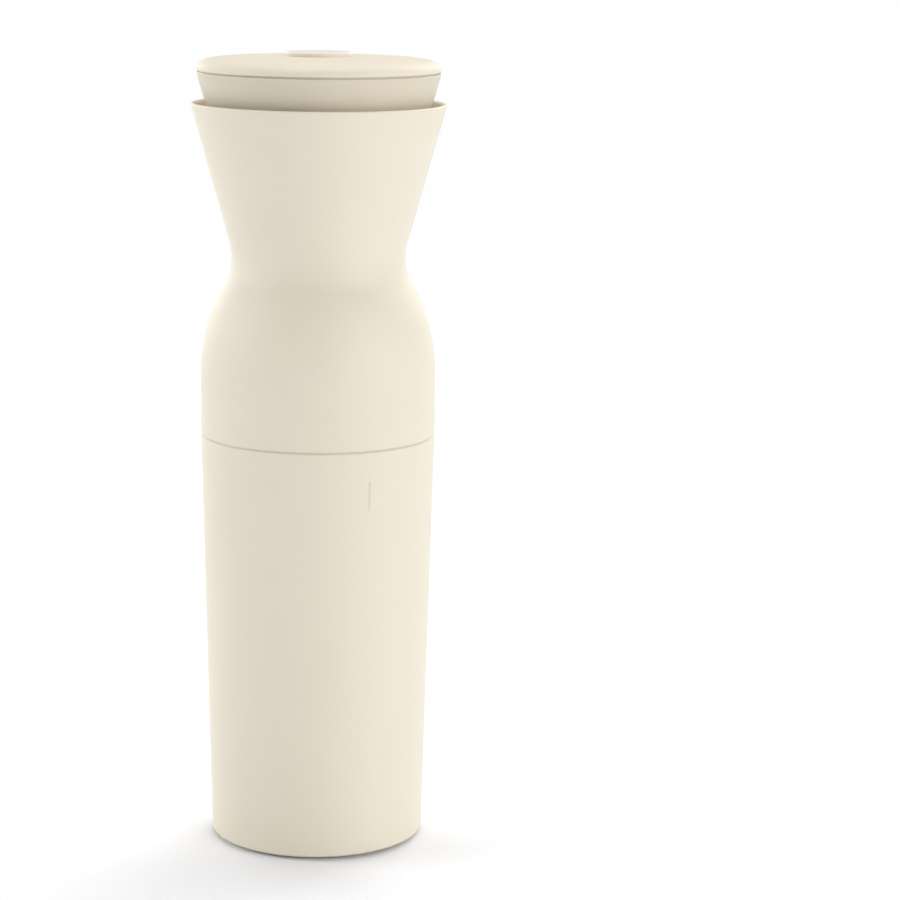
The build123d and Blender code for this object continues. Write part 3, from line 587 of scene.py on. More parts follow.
def _rounded(corner: Vector, before: Vector, after: Vector, rounding: float) -> list[Point]:
    """Returns the points of one rounded corner, with a supporting point on each side of it."""
    back, ahead = before - corner, after - corner
    shorter = min(back.length, ahead.length)
    back_way, ahead_way = back.normalized(), ahead.normalized()
    half = back_way.angle(ahead_way) / 2
    if half > STRAIGHT_CORNER:
        return [tuple(corner)]
    reach = min(rounding / math.tan(half), ROUND_SHARE * shorter)
    radius = reach * math.tan(half)
    centre = corner + (back_way + ahead_way).normalized() * (radius / math.sin(half))
    first, last = corner + back_way * reach - centre, corner + ahead_way * reach - centre
    steps = max(MIN_STEPS, math.ceil(first.angle(last) / ARC_STEP))
    turn = first.angle_signed(last)
    support = min(SUPPORT_SHARE * radius, SIDE_SHARE * shorter + SUPPORT_ROOM)
    points = [tuple(corner + back_way * (reach + support))]
    for step in range(steps + 1):
        spoke = first.copy()
        spoke.rotate(Matrix.Rotation(-turn * step / steps, 2))
        points.append(tuple(centre + spoke))
    points.append(tuple(corner + ahead_way * (reach + support)))
    return points


def smooth_out(work: bmesh.types.BMesh, mesh: bpy.types.Mesh) -> None:
    """Writes a bmesh into a mesh, smooth and with faces outwards, and frees it."""
    bmesh.ops.recalc_face_normals(work, faces=work.faces)
    work.to_mesh(mesh)
    work.free()
    mesh.shade_smooth()
    mesh.set_sharp_from_angle(angle=SHARP_EDGE)


def mesh_object(name: str, work: bmesh.types.BMesh) -> Piece:
    """Turns a bmesh, in metres, into a new object at the origin, and frees it."""
    mesh = bpy.data.meshes.new(name)
    smooth_out(work, mesh)
    made_object = bpy.data.objects.new(name, mesh)
    bpy.context.scene.collection.objects.link(made_object)
    return made_object


def turned(
    name: str,
    outline: Outline,
    closed: bool = True,
    segments: int = BODY_SEGMENTS,
    angles: Sequence[float] | None = None,
    shape: Callable[[float, float, float], float] | None = None,
) -> Piece:
    """Turns an outline about the upright axis.

    Args:
        name: The piece's name.
        outline: The section. An open one starts and ends on the axis.
        closed: Whether its last point joins its first.
        segments: Steps round the axis.
        angles: The directions of the columns, if they aren't even.
        shape: Gives a point's radius from its direction, radius and height, if that varies.

    Returns:
        The new object.
    """
    work = bmesh.new()
    columns = angles or [2 * math.pi * step / segments for step in range(segments)]
    rings: list[list[bmesh.types.BMVert]] = []
    for radius, height in outline.points(closed):
        if radius < ON_AXIS:
            rings.append([work.verts.new((0, 0, height * MM))])
            continue
        ring = []
        for angle in columns:
            reach = (shape(angle, radius, height) if shape else radius) * MM
            place = (reach * math.cos(angle), reach * math.sin(angle), height * MM)
            ring.append(work.verts.new(place))
        rings.append(ring)
    pairs = list(zip(rings, rings[1:]))
    if closed:
        pairs.append((rings[-1], rings[0]))
    for low, high in pairs:
        join_rings(work, low, high)
    return mesh_object(name, work)


def join_rings(
    work: bmesh.types.BMesh, low: Sequence[bmesh.types.BMVert], high: Sequence[bmesh.types.BMVert]
) -> None:
    """Fills the band between two rings, or the fan between a ring and a pole."""
    count = max(len(low), len(high))
    if count == 1:
        return
    for step in range(count):
        ahead = (step + 1) % count
        corners = []
        for ring, order in ((low, (step, ahead)), (high, (ahead, step))):
            corners.extend([ring[0]] if len(ring) == 1 else [ring[i] for i in order])
        work.faces.new(corners)


def joined(name: str, *parts: Piece) -> Piece:
    """Puts the meshes of several objects in a new one, and deletes the originals."""
    work = bmesh.new()
    for part in parts:
        work.from_mesh(part.data)
        bpy.data.objects.remove(part)
    return mesh_object(name, work)


# ------------------------------------------------------------------ placing a piece
def install(piece: Piece, finish: Finish, body: str, slot: str, *nodes: str) -> Piece:
    """Gives a piece its finish, its body and the frame nodes that it stands for.

    Args:
        piece: The finished piece.
        finish: Its finish.
        body: The body that it moves with.
        slot: The material slot of the record; not used.
        nodes: The frame nodes that it replaces.

    Returns:
        The piece.
    """
    piece.data.materials.clear()
    piece.data.materials.append(made(finish))
    if nodes:
        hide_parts(*nodes)
    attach(piece, body)
    log.info("%s: %d faces, on %s", piece.name, len(piece.data.polygons), body)
    return piece


def dress(node: str, finish: Finish) -> None:
    """Gives a frame node that keeps its own mesh a finish."""
    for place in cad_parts[node].material_slots:
        place.link = "OBJECT"
        place.material = made(finish)
    log.info("%s: own mesh, %s", node, finish.name)


# ------------------------------------------------------------------ shapes grown by geometry nodes
class GeometryTree(Tree):
    """A geometry node tree with named inputs and one geometry output."""

    def __init__(self, name: str, inputs: Mapping[str, str]) -> None:
        """Makes the tree.

        Args:
            name: The tree's name.
            inputs: Input name to socket type.
        """
        super().__init__(bpy.data.node_groups.new(name, "GeometryNodeTree"))
        face = self.tree.interface
        for label, kind in inputs.items():
            face.new_socket(label, in_out="INPUT", socket_type=kind)
        face.new_socket("Geometry", in_out="OUTPUT", socket_type="NodeSocketGeometry")
        self.given = dict(zip(inputs, self.node("NodeGroupInput")))

    def turns(self, count: Term, shape: Wire) -> Wire:
        """Returns copies of a shape, evenly turned about the upright axis."""
        points = self.node("GeometryNodePoints", {}, {"Count": count})[0]
        index = self.node("GeometryNodeInputIndex")[0]
        turn = self.vector(z=index / count * (2 * math.pi))
        facing = self.node("FunctionNodeEulerToRotation", {}, {0: turn})[0]
        values = {"Points": points, "Instance": shape, "Rotation": facing}
        return self.node("GeometryNodeInstanceOnPoints", {}, values)[0]

    def circle(self, points: Term, radius: Term) -> Wire:
        """Returns a flat ring of points."""
        values = {"Resolution": points, "Radius": radius}
        return self.node("GeometryNodeCurvePrimitiveCircle", {}, values)[0]

    def real(self, copies: Wire) -> Wire:
        """Returns copies made real."""
        return self.node("GeometryNodeRealizeInstances", {}, {0: copies})[0]

    def union(self, *parts: Wire) -> Wire:
        """Returns several geometries as one."""
        whole = self.node("GeometryNodeJoinGeometry")[0]
        for part in parts:
            self.tree.links.new(part.socket, whole.socket.node.inputs[0])
        return whole

    def tube(self, curve: Wire, radius: Term, sides: int) -> Wire:
        """Returns a round tube along a curve."""
        values = {"Curve": curve, "Profile Curve": self.circle(sides, radius), "Fill Caps": True}
        return self.node("GeometryNodeCurveToMesh", {}, values)[0]

    def finish(self, geometry: Wire) -> None:
        """Realizes the geometry, gives it the Material input and makes it the output."""
        values = {"Geometry": self.real(geometry), "Material": self.given["Material"]}
        dressed = self.node("GeometryNodeSetMaterial", {}, values)[0]
        self.node("NodeGroupOutput", {}, {0: dressed})

    def grow(self, name: str, finish: Finish, values: Mapping[str, object]) -> Piece:
        """Runs the tree and returns its result as a plain mesh.

        Args:
            name: The piece's name.
            finish: Its finish.
            values: Input name to value.

        Returns:
            The new object, with no modifier left on it.
        """
        piece = bpy.data.objects.new(name, bpy.data.meshes.new(name))
        bpy.context.scene.collection.objects.link(piece)
        modifier = piece.modifiers.new(name, "NODES")
        modifier.node_group = self.tree
        given = {**values, "Material": made(finish)}
        for item in self.tree.interface.items_tree:
            if item.in_out == "INPUT":
                modifier[item.identifier] = given[item.name]
        graph = bpy.context.evaluated_depsgraph_get()
        mesh = bpy.data.meshes.new_from_object(piece.evaluated_get(graph), depsgraph=graph)
        piece.modifiers.clear()
        piece.data = mesh
        work = bmesh.new()
        work.from_mesh(mesh)
        bmesh.ops.remove_doubles(work, verts=work.verts, dist=SAME_PLACE * MM)
        smooth_out(work, mesh)
        return piece


class Joining(Enum):
    """What the copies round the axis do to the ring."""

    ADD = "UNION"
    CUT = "DIFFERENCE"


@lru_cache(maxsize=None)
def ring_and_copies(joining: Joining) -> GeometryTree:
    """Returns the tree that adds copies of a shape to a ring, or cuts them out of it."""
    tree = GeometryTree(
        f"ring_{joining.name.lower()}",
        {
            "Ring": "NodeSocketObject",
            "Shape": "NodeSocketObject",
            "Count": "NodeSocketInt",
            "Material": "NodeSocketMaterial",
        },
    )
    ring = tree.node("GeometryNodeObjectInfo", {}, {"Object": tree.given["Ring"]})[4]
    shape = tree.node("GeometryNodeObjectInfo", {}, {"Object": tree.given["Shape"]})[4]
    copies = tree.real(tree.turns(tree.given["Count"], shape))
    if joining is Joining.CUT:
        meshes = {"Mesh 1": ring, "Mesh 2": copies}
    else:
        meshes = {"Mesh 2": tree.union(copies, ring)}
    settings = {"operation": joining.value, "solver": "EXACT"}
    tree.finish(tree.node("GeometryNodeMeshBoolean", settings, meshes)[0])
    return tree


@lru_cache(maxsize=None)
def coil_tree() -> GeometryTree:
    """Returns the tree of a compression spring whose first and last coils lie closed."""
    numbers = ("Radius", "Wire", "Turns", "Closed", "Bottom", "Top")
    kinds = {**dict.fromkeys(numbers, "NodeSocketFloat"), "Points": "NodeSocketInt"}
    tree = GeometryTree("coil", {**kinds, "Material": "NodeSocketMaterial"})
    radius, wire, turns, closed, bottom, top, points = (tree.given[name] for name in kinds)
    line = tree.node("GeometryNodeCurvePrimitiveLine")[0]
    path = tree.node("GeometryNodeResampleCurve", {}, {"Curve": line, "Count": points})[0]
    turned_by = tree.node("GeometryNodeInputIndex")[0] / (points - 1) * turns
    end_pitch = wire * CLOSED_PITCH
    open_turns = turns - closed * 2
    open_pitch = (top - bottom - wire * 2 - end_pitch * closed * 2) / open_turns
    first = turned_by.apply("MINIMUM", closed) * end_pitch
    middle = (turned_by - closed).apply("MAXIMUM", 0.0).apply("MINIMUM", open_turns) * open_pitch
    last = (turned_by - closed - open_turns).apply("MAXIMUM", 0.0) * end_pitch
    angle = turned_by * (2 * math.pi)
    height = bottom + wire + first + middle + last
    place = tree.vector(angle.apply("COSINE") * radius, angle.apply("SINE") * radius, height)
    wound = tree.node("GeometryNodeSetPosition", {}, {"Geometry": path, "Position": place})[0]
    tree.finish(tree.tube(wound, wire, COIL_SIDES))
    return tree


@lru_cache(maxsize=None)
def weave_tree() -> GeometryTree:
    """Returns the tree of a woven wire sleeve: hoops and uprights that pass over and under."""
    sizes, counts = ("Radius", "Wire", "Wave", "Bottom", "Pitch"), ("Hoops", "Uprights")
    kinds = {**dict.fromkeys(sizes, "NodeSocketFloat"), **dict.fromkeys(counts, "NodeSocketInt")}
    tree = GeometryTree("weave", {**kinds, "Material": "NodeSocketMaterial"})
    radius, wire, wave, bottom, pitch, hoops, uprights = (tree.given[name] for name in kinds)
    rise = {"Count": hoops, "Start Location": tree.vector(z=bottom), "Offset": tree.vector(z=pitch)}
    levels = tree.node("GeometryNodeMeshLine", {}, rise)[0]
    hoop = tree.circle(uprights * 2, radius)
    stack = tree.node("GeometryNodeInstanceOnPoints", {}, {"Points": levels, "Instance": hoop})[0]
    low, high = tree.vector(radius, z=bottom), tree.vector(radius, z=bottom + pitch * (hoops - 1))
    straight = tree.node("GeometryNodeCurvePrimitiveLine", {}, {"Start": low, "End": high})[0]
    points = {"Curve": straight, "Count": hoops * 2 - 1}
    upright = tree.node("GeometryNodeResampleCurve", {}, points)[0]
    sides = []
    for wires, sign in ((stack, 1.0), (tree.turns(uprights, upright), -1.0)):
        plain = tree.real(wires)
        x, y, z = tree.parts(tree.node("GeometryNodeInputPosition")[0])
        along = (z - bottom) / pitch
        around = y.apply("ARCTAN2", x) * uprights * (0.5 / math.pi)
        push = ((along + around) * math.pi).apply("COSINE") * wave * sign / radius
        moved = {"Geometry": plain, "Offset": tree.vector(x * push, y * push)}
        wavy = tree.node("GeometryNodeSetPosition", {}, moved)[0]
        sides.append(tree.tube(wavy, wire, WEAVE_SIDES))
    tree.finish(tree.union(*sides))
    return tree


def bar(name: str, start: Vector, end: Vector, rounding: float) -> Piece:
    """Makes a block between two corners, in millimetres, with its edges rounded."""
    work = bmesh.new()
    bmesh.ops.create_cube(work, size=1.0)
    middle, size = (start + end) / 2, end - start
    for vertex in work.verts:
        vertex.co = Vector(m + s * c for m, s, c in zip(middle, size, vertex.co)) * MM
    if rounding > 0:
        bmesh.ops.bevel(
            work, geom=work.edges[:], offset=rounding * MM, segments=3, affect="EDGES", profile=0.5
        )
    return mesh_object(name, work)


def combine(
    name: str, joining: Joining, finish: Finish, ring: Piece, shape: Piece, count: int
) -> Piece:
    """Adds copies of a shape to a ring, or cuts them out, and deletes the two originals.

    Args:
        name: The new piece's name.
        joining: Whether the copies are added or cut out.
        finish: The piece's finish.
        ring: The ring.
        shape: The shape that is repeated about the upright axis.
        count: How many copies.

    Returns:
        The new piece.
    """
    values = {"Ring": ring, "Shape": shape, "Count": count}
    piece = ring_and_copies(joining).grow(name, finish, values)
    for spent in (ring, shape):
        bpy.data.objects.remove(spent)
    return piece


# ------------------------------------------------------------------ the outside form
@dataclass(frozen=True)
class Silhouette:
    """The outside of the maker: a slightly tapered carafe under an hourglass."""

    base_radius: float = 39.7
    body_radius: float = 43.35
    waist_radius: float = 32.0
    waist_rise: float = 66.0
    waist_curve: float = 20.0
    rim_radius: float = 46.9
    seam: float = bottom_of("seam_gasket")
    brewer_bottom: float = bottom_of("brewer_shell")
    shoulder_start: float = top_of("chamber_floor")
    rim: float = top_of("brewer_shell")
    curve_steps: int = 40
    cup_steps: int = 24

    def __post_init__(self) -> None:
        """Works out the centres and angles of the two curves."""
        waist = self.seam + self.waist_rise
        waist_centre = self.waist_radius + self.waist_curve
        rise, reach = waist - self.shoulder_start, waist_centre - self.body_radius
        chord = rise**2 + reach**2 - self.waist_curve**2
        shoulder_curve = chord / (2 * (self.waist_curve - reach))
        shoulder_centre = self.body_radius - shoulder_curve
        apart = waist_centre - shoulder_centre
        shoulder_turn = math.acos(apart / (shoulder_curve + self.waist_curve))
        bearing = math.atan2(self.rim - waist, self.rim_radius - waist_centre)
        distance = math.hypot(self.rim_radius - waist_centre, self.rim - waist)
        worked_out = {
            "waist": waist,
            "waist_centre": waist_centre,
            "shoulder_curve": shoulder_curve,
            "shoulder_centre": shoulder_centre,
            "shoulder_turn": shoulder_turn,
            "funnel_angle": math.pi - bearing - math.acos(self.waist_curve / distance),
        }
        for name, value in worked_out.items():
            object.__setattr__(self, name, value)

    def carafe(self, height: float, inset: float = 0.0) -> float:
        """Radius of the carafe at a height, moved in by inset."""
        return self.base_radius + (self.body_radius - self.base_radius) * height / self.seam - inset

    def funnel(self, height: float, inset: float = 0.0) -> float:
        """Radius of the straight funnel at a height, moved squarely in by inset."""
        slope = math.tan(self.funnel_angle)
        return self.rim_radius + (height - self.rim) * slope - inset / math.cos(self.funnel_angle)

    def on_carafe(self, height: float, inset: float = 0.0, rounding: float = 0.0) -> Corner:
        """Returns a corner on the side of the carafe."""
        return self.carafe(height, inset), height, rounding

    def on_funnel(self, height: float, inset: float = 0.0, rounding: float = 0.0) -> Corner:
        """Returns a corner on the side of the funnel."""
        return self.funnel(height, inset), height, rounding

    def add_waist(self, outline: Outline, inset: float, start: float, steps: int) -> None:
        """Adds the hollow waist from a turn below it up to the funnel."""
        centre = (self.waist_centre, self.waist)
        radius = self.waist_curve + inset
        outline.arc(centre, radius, math.pi - start, math.pi - self.funnel_angle, steps)

    def hourglass(self, inset: float, bottom: float, top: float, rounds: Point) -> Outline:
        """Returns the side of the hourglass, from bottom to top.

        Args:
            inset: How far inside the outer face.
            bottom: The lowest height.
            top: The highest height.
            rounds: The rounding at the bottom and at the top corner.

        Returns:
            An open outline.
        """
        side = Outline((self.body_radius - inset, bottom, rounds[0]))
        centre = (self.shoulder_centre, self.shoulder_start)
        side.arc(centre, self.shoulder_curve - inset, 0.0, self.shoulder_turn, self.curve_steps)
        self.add_waist(side, inset, -self.shoulder_turn, self.curve_steps)
        return side.add(self.on_funnel(top, inset, rounds[1]))

    def cup(self, inset: float, bottom: float, top: float, rounds: Point) -> Outline:
        """Returns the side of a cup in the funnel: a straight neck, half the waist and the cone."""
        side = Outline((self.waist_radius - inset, bottom, rounds[0]))
        self.add_waist(side, inset, 0.0, self.cup_steps)
        return side.add(self.on_funnel(top, inset, rounds[1]))


FORM = Silhouette()


@dataclass(frozen=True)
class Fits:
    """Sizes that more than one sub-assembly keeps to."""

    gap: float = 0.05
    neck: float = 33.5
    drain: float = 7.0
    rod: float = 2.5
    brewer_wall: float = 1.8
    cup_inset: float = 5.2
    cup_wall: float = 1.6
    seat_gap: float = 0.3


FITS = Fits()


# ------------------------------------------------------------------ carafe
@dataclass
class Carafe:
    """The insulated carafe: the shell with the index line, the flask, and the base with its foot."""

    body: str = "carafe"
    wall: float = 1.2
    liner_wall: float = 1.0
    vacuum_gap: float = 2.4
    base_lift: float = bottom_of("carafe_shell")
    base_round: float = 2.0
    base_opening: float = 36.6
    shoulder_round: float = 0.8
    neck_top: float = top_of("carafe_shell")
    flask_floor_round: float = 8.0
    flask_shoulder_round: float = 4.0
    index_angle: float = 25.5
    index_width: float = 1.2
    index_wall: float = 0.22
    index_depth: float = 0.15
    index_length: float = 11.4
    index_drop: float = 10.6
    face_depth: float = 0.6
    face_spread: float = 0.01
    plain_top: float = 1.0
    columns: int = 236
    index_columns: int = 8
    ring_pitch: float = 12.0
    index_ring_pitch: float = 3.0
    foot_width: float = 5.5
    key_half: float = 0.8
    key_height: float = 0.65
    tread_inset: float = 1.7
    tread_half: float = 0.35
    tread_depth: float = 0.3

    def build(self) -> None:
        """Builds and dresses every piece of the carafe."""
        install(self.shell(), CREAM_INDEX_SHADED, self.body, "cream_coat", "carafe_shell")
        install(self.flask(), STEEL, self.body, "steel", "carafe_liner")
        install(self.cover(), CREAM_COAT, self.body, "cream_coat", "base_cover")
        install(self.foot(), RUBBER, self.body, "silicone", "foot_ring")
        dress("vacuum_plate", STEEL)
        dress("seal_bead", WIRE_STEEL)
        dress("getter_pad", WIRE_STEEL)

    def index_share(self, angle: float, height: float) -> float:
        """Returns how deep the index line is at a place on the shell, from 0 to 1.

        Args:
            angle: The direction of the place, in radians from the front towards the right.
            height: Its height.

        Returns:
            The share of the full depth.
        """
        half = self.index_width / 2
        top = FORM.seam - self.index_drop - half
        bottom = top - self.index_length + 2 * half
        across = (angle - math.radians(self.index_angle)) * FORM.carafe(top)
        along = height - min(max(height, bottom), top)
        edge = (half - math.hypot(across, along)) / self.index_wall
        share = min(max(edge, 0.0), 1.0)
        return share * share * (3 - 2 * share)

    def shell_heights(self) -> list[float]:
        """Returns the heights of the rings of the shell's wall, close together at the index line."""
        top = FORM.seam - self.index_drop
        bottom = top - self.index_length
        step, ends = self.index_width / 10, (bottom, top - self.index_width)
        fine = [height + step * i for height in ends for i in range(-1, 12)]
        coarse = [bottom + self.index_ring_pitch * i for i in range(1, 4)]
        plain = [self.ring_pitch * i for i in range(1, 11)]
        return sorted({round(height, 3) for height in (*fine, *coarse, *plain)})

    def shell_angles(self) -> list[float]:
        """Returns the directions of the shell's columns, close together at the index line."""
        middle = math.radians(self.index_angle - 90)
        step = self.index_width / 11 / FORM.body_radius
        side = self.index_columns
        fine = [middle + step * i for i in range(-side, side + 1)]
        span = 2 * math.pi - 2 * side * step
        return fine + [fine[-1] + span * i / self.columns for i in range(1, self.columns)]

    def sink(self, angle: float, radius: float, height: float) -> float:
        """Returns the radius of a point of the shell, moved in where the index line is."""
        off_face = abs(radius - FORM.carafe(height)) > self.face_spread
        if off_face or height > FORM.seam - self.plain_top:
            return radius
        return radius - self.index_depth * self.index_share(angle + math.pi / 2, height)

    def shell(self) -> Piece:
        """Returns the outer shell, in which the index line is sunk, with an attribute that paints
        shade into the line.
        """
        floor, roof, bore = self.base_lift + self.wall, FORM.seam - self.wall, FITS.neck - self.wall
        outline = Outline(
            (self.base_opening, self.base_lift, 0.3),
            FORM.on_carafe(self.base_lift, 0.0, self.base_round),
            *(FORM.on_carafe(height) for height in self.shell_heights()),
            (FORM.body_radius, FORM.seam, self.shoulder_round),
            (FITS.neck, FORM.seam, 0.5),
            (FITS.neck, self.neck_top, 0.3),
            (bore, self.neck_top),
            (bore, roof),
            (FORM.body_radius - self.wall, roof, 0.6),
            FORM.on_carafe(floor, self.wall, 0.8),
            (self.base_opening, floor, 0.3),
        )
        shell = turned("carafe_shell", outline, angles=self.shell_angles(), shape=self.sink)
        # Painted shade: each point of the sunk index line gets its share of darkening.
        painted_shade = shell.data.attributes.new("index_line_painted_shade", "FLOAT", "POINT")
        for vertex in shell.data.vertices:
            place = vertex.co / MM
            angle = math.atan2(place.y, place.x) + math.pi / 2
            on_face = place.xy.length > FORM.carafe(place.z) - self.face_depth
            painted_shade.data[vertex.index].value = self.index_share(angle, place.z) if on_face else 0.0
        return shell

    def flask(self) -> Piece:
        """Returns the steel flask, which is open at its neck."""
        low, lip_top, _ = extent("carafe_liner")
        inset, wall = self.wall + self.vacuum_gap, self.liner_wall
        roof, neck = FORM.seam - inset, FITS.neck - self.wall - FITS.gap
        outline = Outline(
            (0, low),
            FORM.on_carafe(low, inset, self.flask_floor_round),
            FORM.on_carafe(roof, inset, self.flask_shoulder_round),
            (neck, roof, 0.4),
            (neck, self.neck_top),
            (FITS.neck, self.neck_top, 0.2),
            (FITS.neck, lip_top, 0.4),
            (neck - wall, lip_top, 0.4),
            (neck - wall, roof - wall, 0.6),
            (FORM.carafe(roof, inset + wall), roof - wall, self.flask_shoulder_round - wall),
            FORM.on_carafe(low + wall, inset + wall, self.flask_floor_round - wall),
            (0, low + wall),
        )
        return turned("carafe_liner", outline, closed=False)

    def cover(self) -> Piece:
        """Returns the pressed cover under the carafe, with the groove that keys the foot."""
        low, high, _ = extent("base_cover")
        edge, floor = self.base_opening - FITS.gap, low + self.wall
        key, half = radius_of("foot_ring") - self.foot_width / 2, self.key_half + FITS.gap
        key_top = low + self.key_height + FITS.gap
        outline = Outline((0, low), (key - half, low), (key - half, key_top, 0.15))
        outline.add((key + half, key_top, 0.15), (key + half, low), (edge, low, 0.5))
        outline.add((edge, high, 0.2), (edge - self.wall, high, 0.2))
        outline.add((edge - self.wall, floor, 0.4), (0, floor))
        return turned("base_cover", outline, closed=False)

    def foot(self) -> Piece:
        """Returns the soft foot ring, with two fine grooves in the face that it stands on."""
        outer, top = radius_of("foot_ring"), bottom_of("base_cover")
        inner = outer - self.foot_width
        key, half, key_top = (outer + inner) / 2, self.key_half, top + self.key_height
        outline = Outline((inner, 0, 0.5))
        for tread in (inner + self.tread_inset, outer - self.tread_inset):
            near, far = tread - self.tread_half, tread + self.tread_half
            outline.add((near, 0), (tread, self.tread_depth, 0.12), (far, 0))
        outline.add((outer, 0, 0.5), (outer, top, 0.2), (key + half, top))
        outline.add((key + half, key_top, 0.1), (key - half, key_top, 0.1))
        outline.add((key - half, top), (inner, top, 0.2))
        return turned("foot_ring", outline)


# ------------------------------------------------------------------ brewer
@dataclass
class Brewer:
    """The hourglass brewer: its shell, the chamber floor with the plug, the base and the seals."""

    body: str = "brewer"
    rim_round: float = 0.9
    rim_trim: float = 0.08
    seam_round: float = 0.22
    seam_lip: float = 0.18
    lip_gap: float = 0.02
    floor_underside: float = top_of("mouth_gasket")
    floor_thickness: float = 2.4
    floor_fall: float = 4.0
    floor_rim_wall: float = 2.2
    floor_rim_drop: float = 1.1
    plug: float = 30.25
    plug_wall: float = 2.4
    seal_groove: float = 0.9
    seal_height: float = 3.0
    seal_bulge: float = 0.82
    seal_drops: Point = (8.0, 15.0)
    boss_wall: float = 3.5
    boss_drop: float = 5.5
    sleeve_gap: float = 0.8
    sleeve_wall: float = 1.8
    flange: float = 2.0

    def build(self) -> None:
        """Builds and dresses every piece of the brewer but its valve."""
        install(self.shell(), CREAM_SHELL, self.body, "cream_plastic", "brewer_shell")
        install(self.floor(), IVORY, self.body, "ivory_plastic", "chamber_floor")
        install(self.base(), IVORY, self.body, "ivory_plastic", "brewer_base")
        install(self.seam_gasket(), CREAM_RUBBER, self.body, "silicone", "seam_gasket")
        install(self.mouth_gasket(), RUBBER, self.body, "silicone", "mouth_gasket")
        for name, drop in zip(("plug_seal_upper", "plug_seal_lower"), self.seal_drops):
            install(self.plug_seal(name, drop), RUBBER, self.body, "silicone", name)
        dress("floor_seal", RUBBER)

    def shell(self) -> Piece:
        """Returns the hourglass shell, whose rim is trimmed to stay within the solid's."""
        low, high = FORM.brewer_bottom, FORM.rim
        outside = FORM.hourglass(0, low, high, (self.seam_round, self.rim_round))
        edge, top, curve = outside.knots[-1]
        outside.knots[-1] = (edge - self.rim_trim, top, curve)
        inside = FORM.hourglass(FITS.brewer_wall, low, high, (0.2, self.rim_round))
        return turned("brewer_shell", outside.down(inside))

    def floor(self) -> Piece:
        """Returns the chamber floor, which falls to the drain, with the plug under it."""
        plug, drain, under = self.plug, FITS.drain, self.floor_underside
        bottom, top = bottom_of("chamber_floor"), under + self.floor_thickness
        rim, rim_top = FORM.body_radius - FITS.brewer_wall - FITS.gap, FORM.shoulder_start
        rim_inner, rim_low = rim - self.floor_rim_wall, under - self.floor_rim_drop
        bore, boss = plug - self.plug_wall, drain + self.boss_wall
        lip, slope = top - self.floor_fall, self.floor_fall / (bore - drain)
        boss_top = lip - self.floor_thickness + (boss - drain) * slope
        boss_low = under - self.boss_drop
        outline = Outline((drain, lip, 0.5), (bore, top, 1.2), (rim_inner, top, 0.8))
        outline.add((rim_inner, rim_top, 0.4), (rim, rim_top), (rim, rim_low, 0.3))
        outline.add((rim_inner, rim_low, 0.3), (rim_inner, under, 0.4), (plug, under, 0.4))
        groove, half = plug - self.seal_groove, self.seal_height / 2
        for middle in (under - drop for drop in self.seal_drops):
            high, low = middle + half, middle - half
            outline.add((plug, high, 0.15), (groove, high), (groove, low), (plug, low, 0.15))
        outline.add((plug, bottom, 0.7), (bore, bottom, 0.7), (bore, under, 0.5))
        outline.add((boss, boss_top, 0.5), (boss, boss_low, 0.4), (drain, boss_low, 0.2))
        return turned("chamber_floor", outline)

    def base(self) -> Piece:
        """Returns the base of the brewer, with its flange and the sleeve round the neck."""
        low, high, bore = top_of("seam_gasket"), self.floor_underside, FITS.neck + self.sleeve_gap
        flange_top, sleeve = low + self.flange, bore + self.sleeve_wall
        outer = FORM.body_radius - FITS.brewer_wall - FITS.gap
        outline = Outline((bore, low, 0.3), (outer, low, 0.2), (outer, flange_top, 0.3))
        outline.add((sleeve, flange_top, 0.5), (sleeve, high, 0.4), (bore, high, 0.4))
        return turned("brewer_base", outline)

    def seam_gasket(self) -> Piece:
        """Returns the gasket that the brewer stands on, with a thin lip that fills the seam."""
        low, high, outer = extent("seam_gasket")
        inner, lip = FITS.neck + self.sleeve_gap, FORM.body_radius - self.seam_lip
        lip_top = FORM.brewer_bottom - self.lip_gap
        outline = Outline((inner, low, 0.3), (lip, low), (lip, lip_top), (outer, lip_top, 0.1))
        outline.add((outer, high, 0.2), (inner, high, 0.2))
        return turned("seam_gasket", outline)

    def mouth_gasket(self) -> Piece:
        """Returns the flat gasket over the lip of the carafe."""
        low, high, outer = extent("mouth_gasket")
        outline = block(self.plug + FITS.gap, outer, low, high, 0.3, 0.5, 0.3, 0.2)
        return turned("mouth_gasket", outline)

    def plug_seal(self, name: str, drop: float) -> Piece:
        """Returns a seal of the plug: a flat back in its groove and two round lips."""
        middle, half = self.floor_underside - drop, self.seal_height / 2 - FITS.gap
        back, lip = self.plug - self.seal_groove + FITS.gap, radius_of(name) - self.plug
        outline = Outline((back, middle + half), (back, middle - half), (self.plug, middle - half))
        for end in ((self.plug + lip / 3, middle), (self.plug, middle + half)):
            outline.bulge(end, lip * self.seal_bulge)
        return turned(name, outline)


# ------------------------------------------------------------------ springs and spoked wheels
@dataclass(frozen=True)
class Spring:
    """A compression spring whose first and last coils lie closed."""

    radius: float
    wire: float
    turns: float
    points: int
    keep: float
    closed: float = 0.75

    def build(self, name: str, body: str, joint: str, low: float, high: float) -> None:
        """Winds the spring and dresses it.

        Args:
            name: The piece and the node that it replaces.
            body: The body that it stands on.
            joint: Not used.
            low: Its lowest height.
            high: Its highest height.
        """
        values = {
            "Radius": self.radius * MM,
            "Wire": self.wire * MM,
            "Turns": self.turns,
            "Closed": self.closed,
            "Bottom": low * MM,
            "Top": high * MM,
            "Points": self.points,
        }
        coil = coil_tree().grow(name, WIRE_STEEL, values)
        install(coil, WIRE_STEEL, body, "spring_steel", name)
        (low - FITS.gap) * MM
        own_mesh(coil)


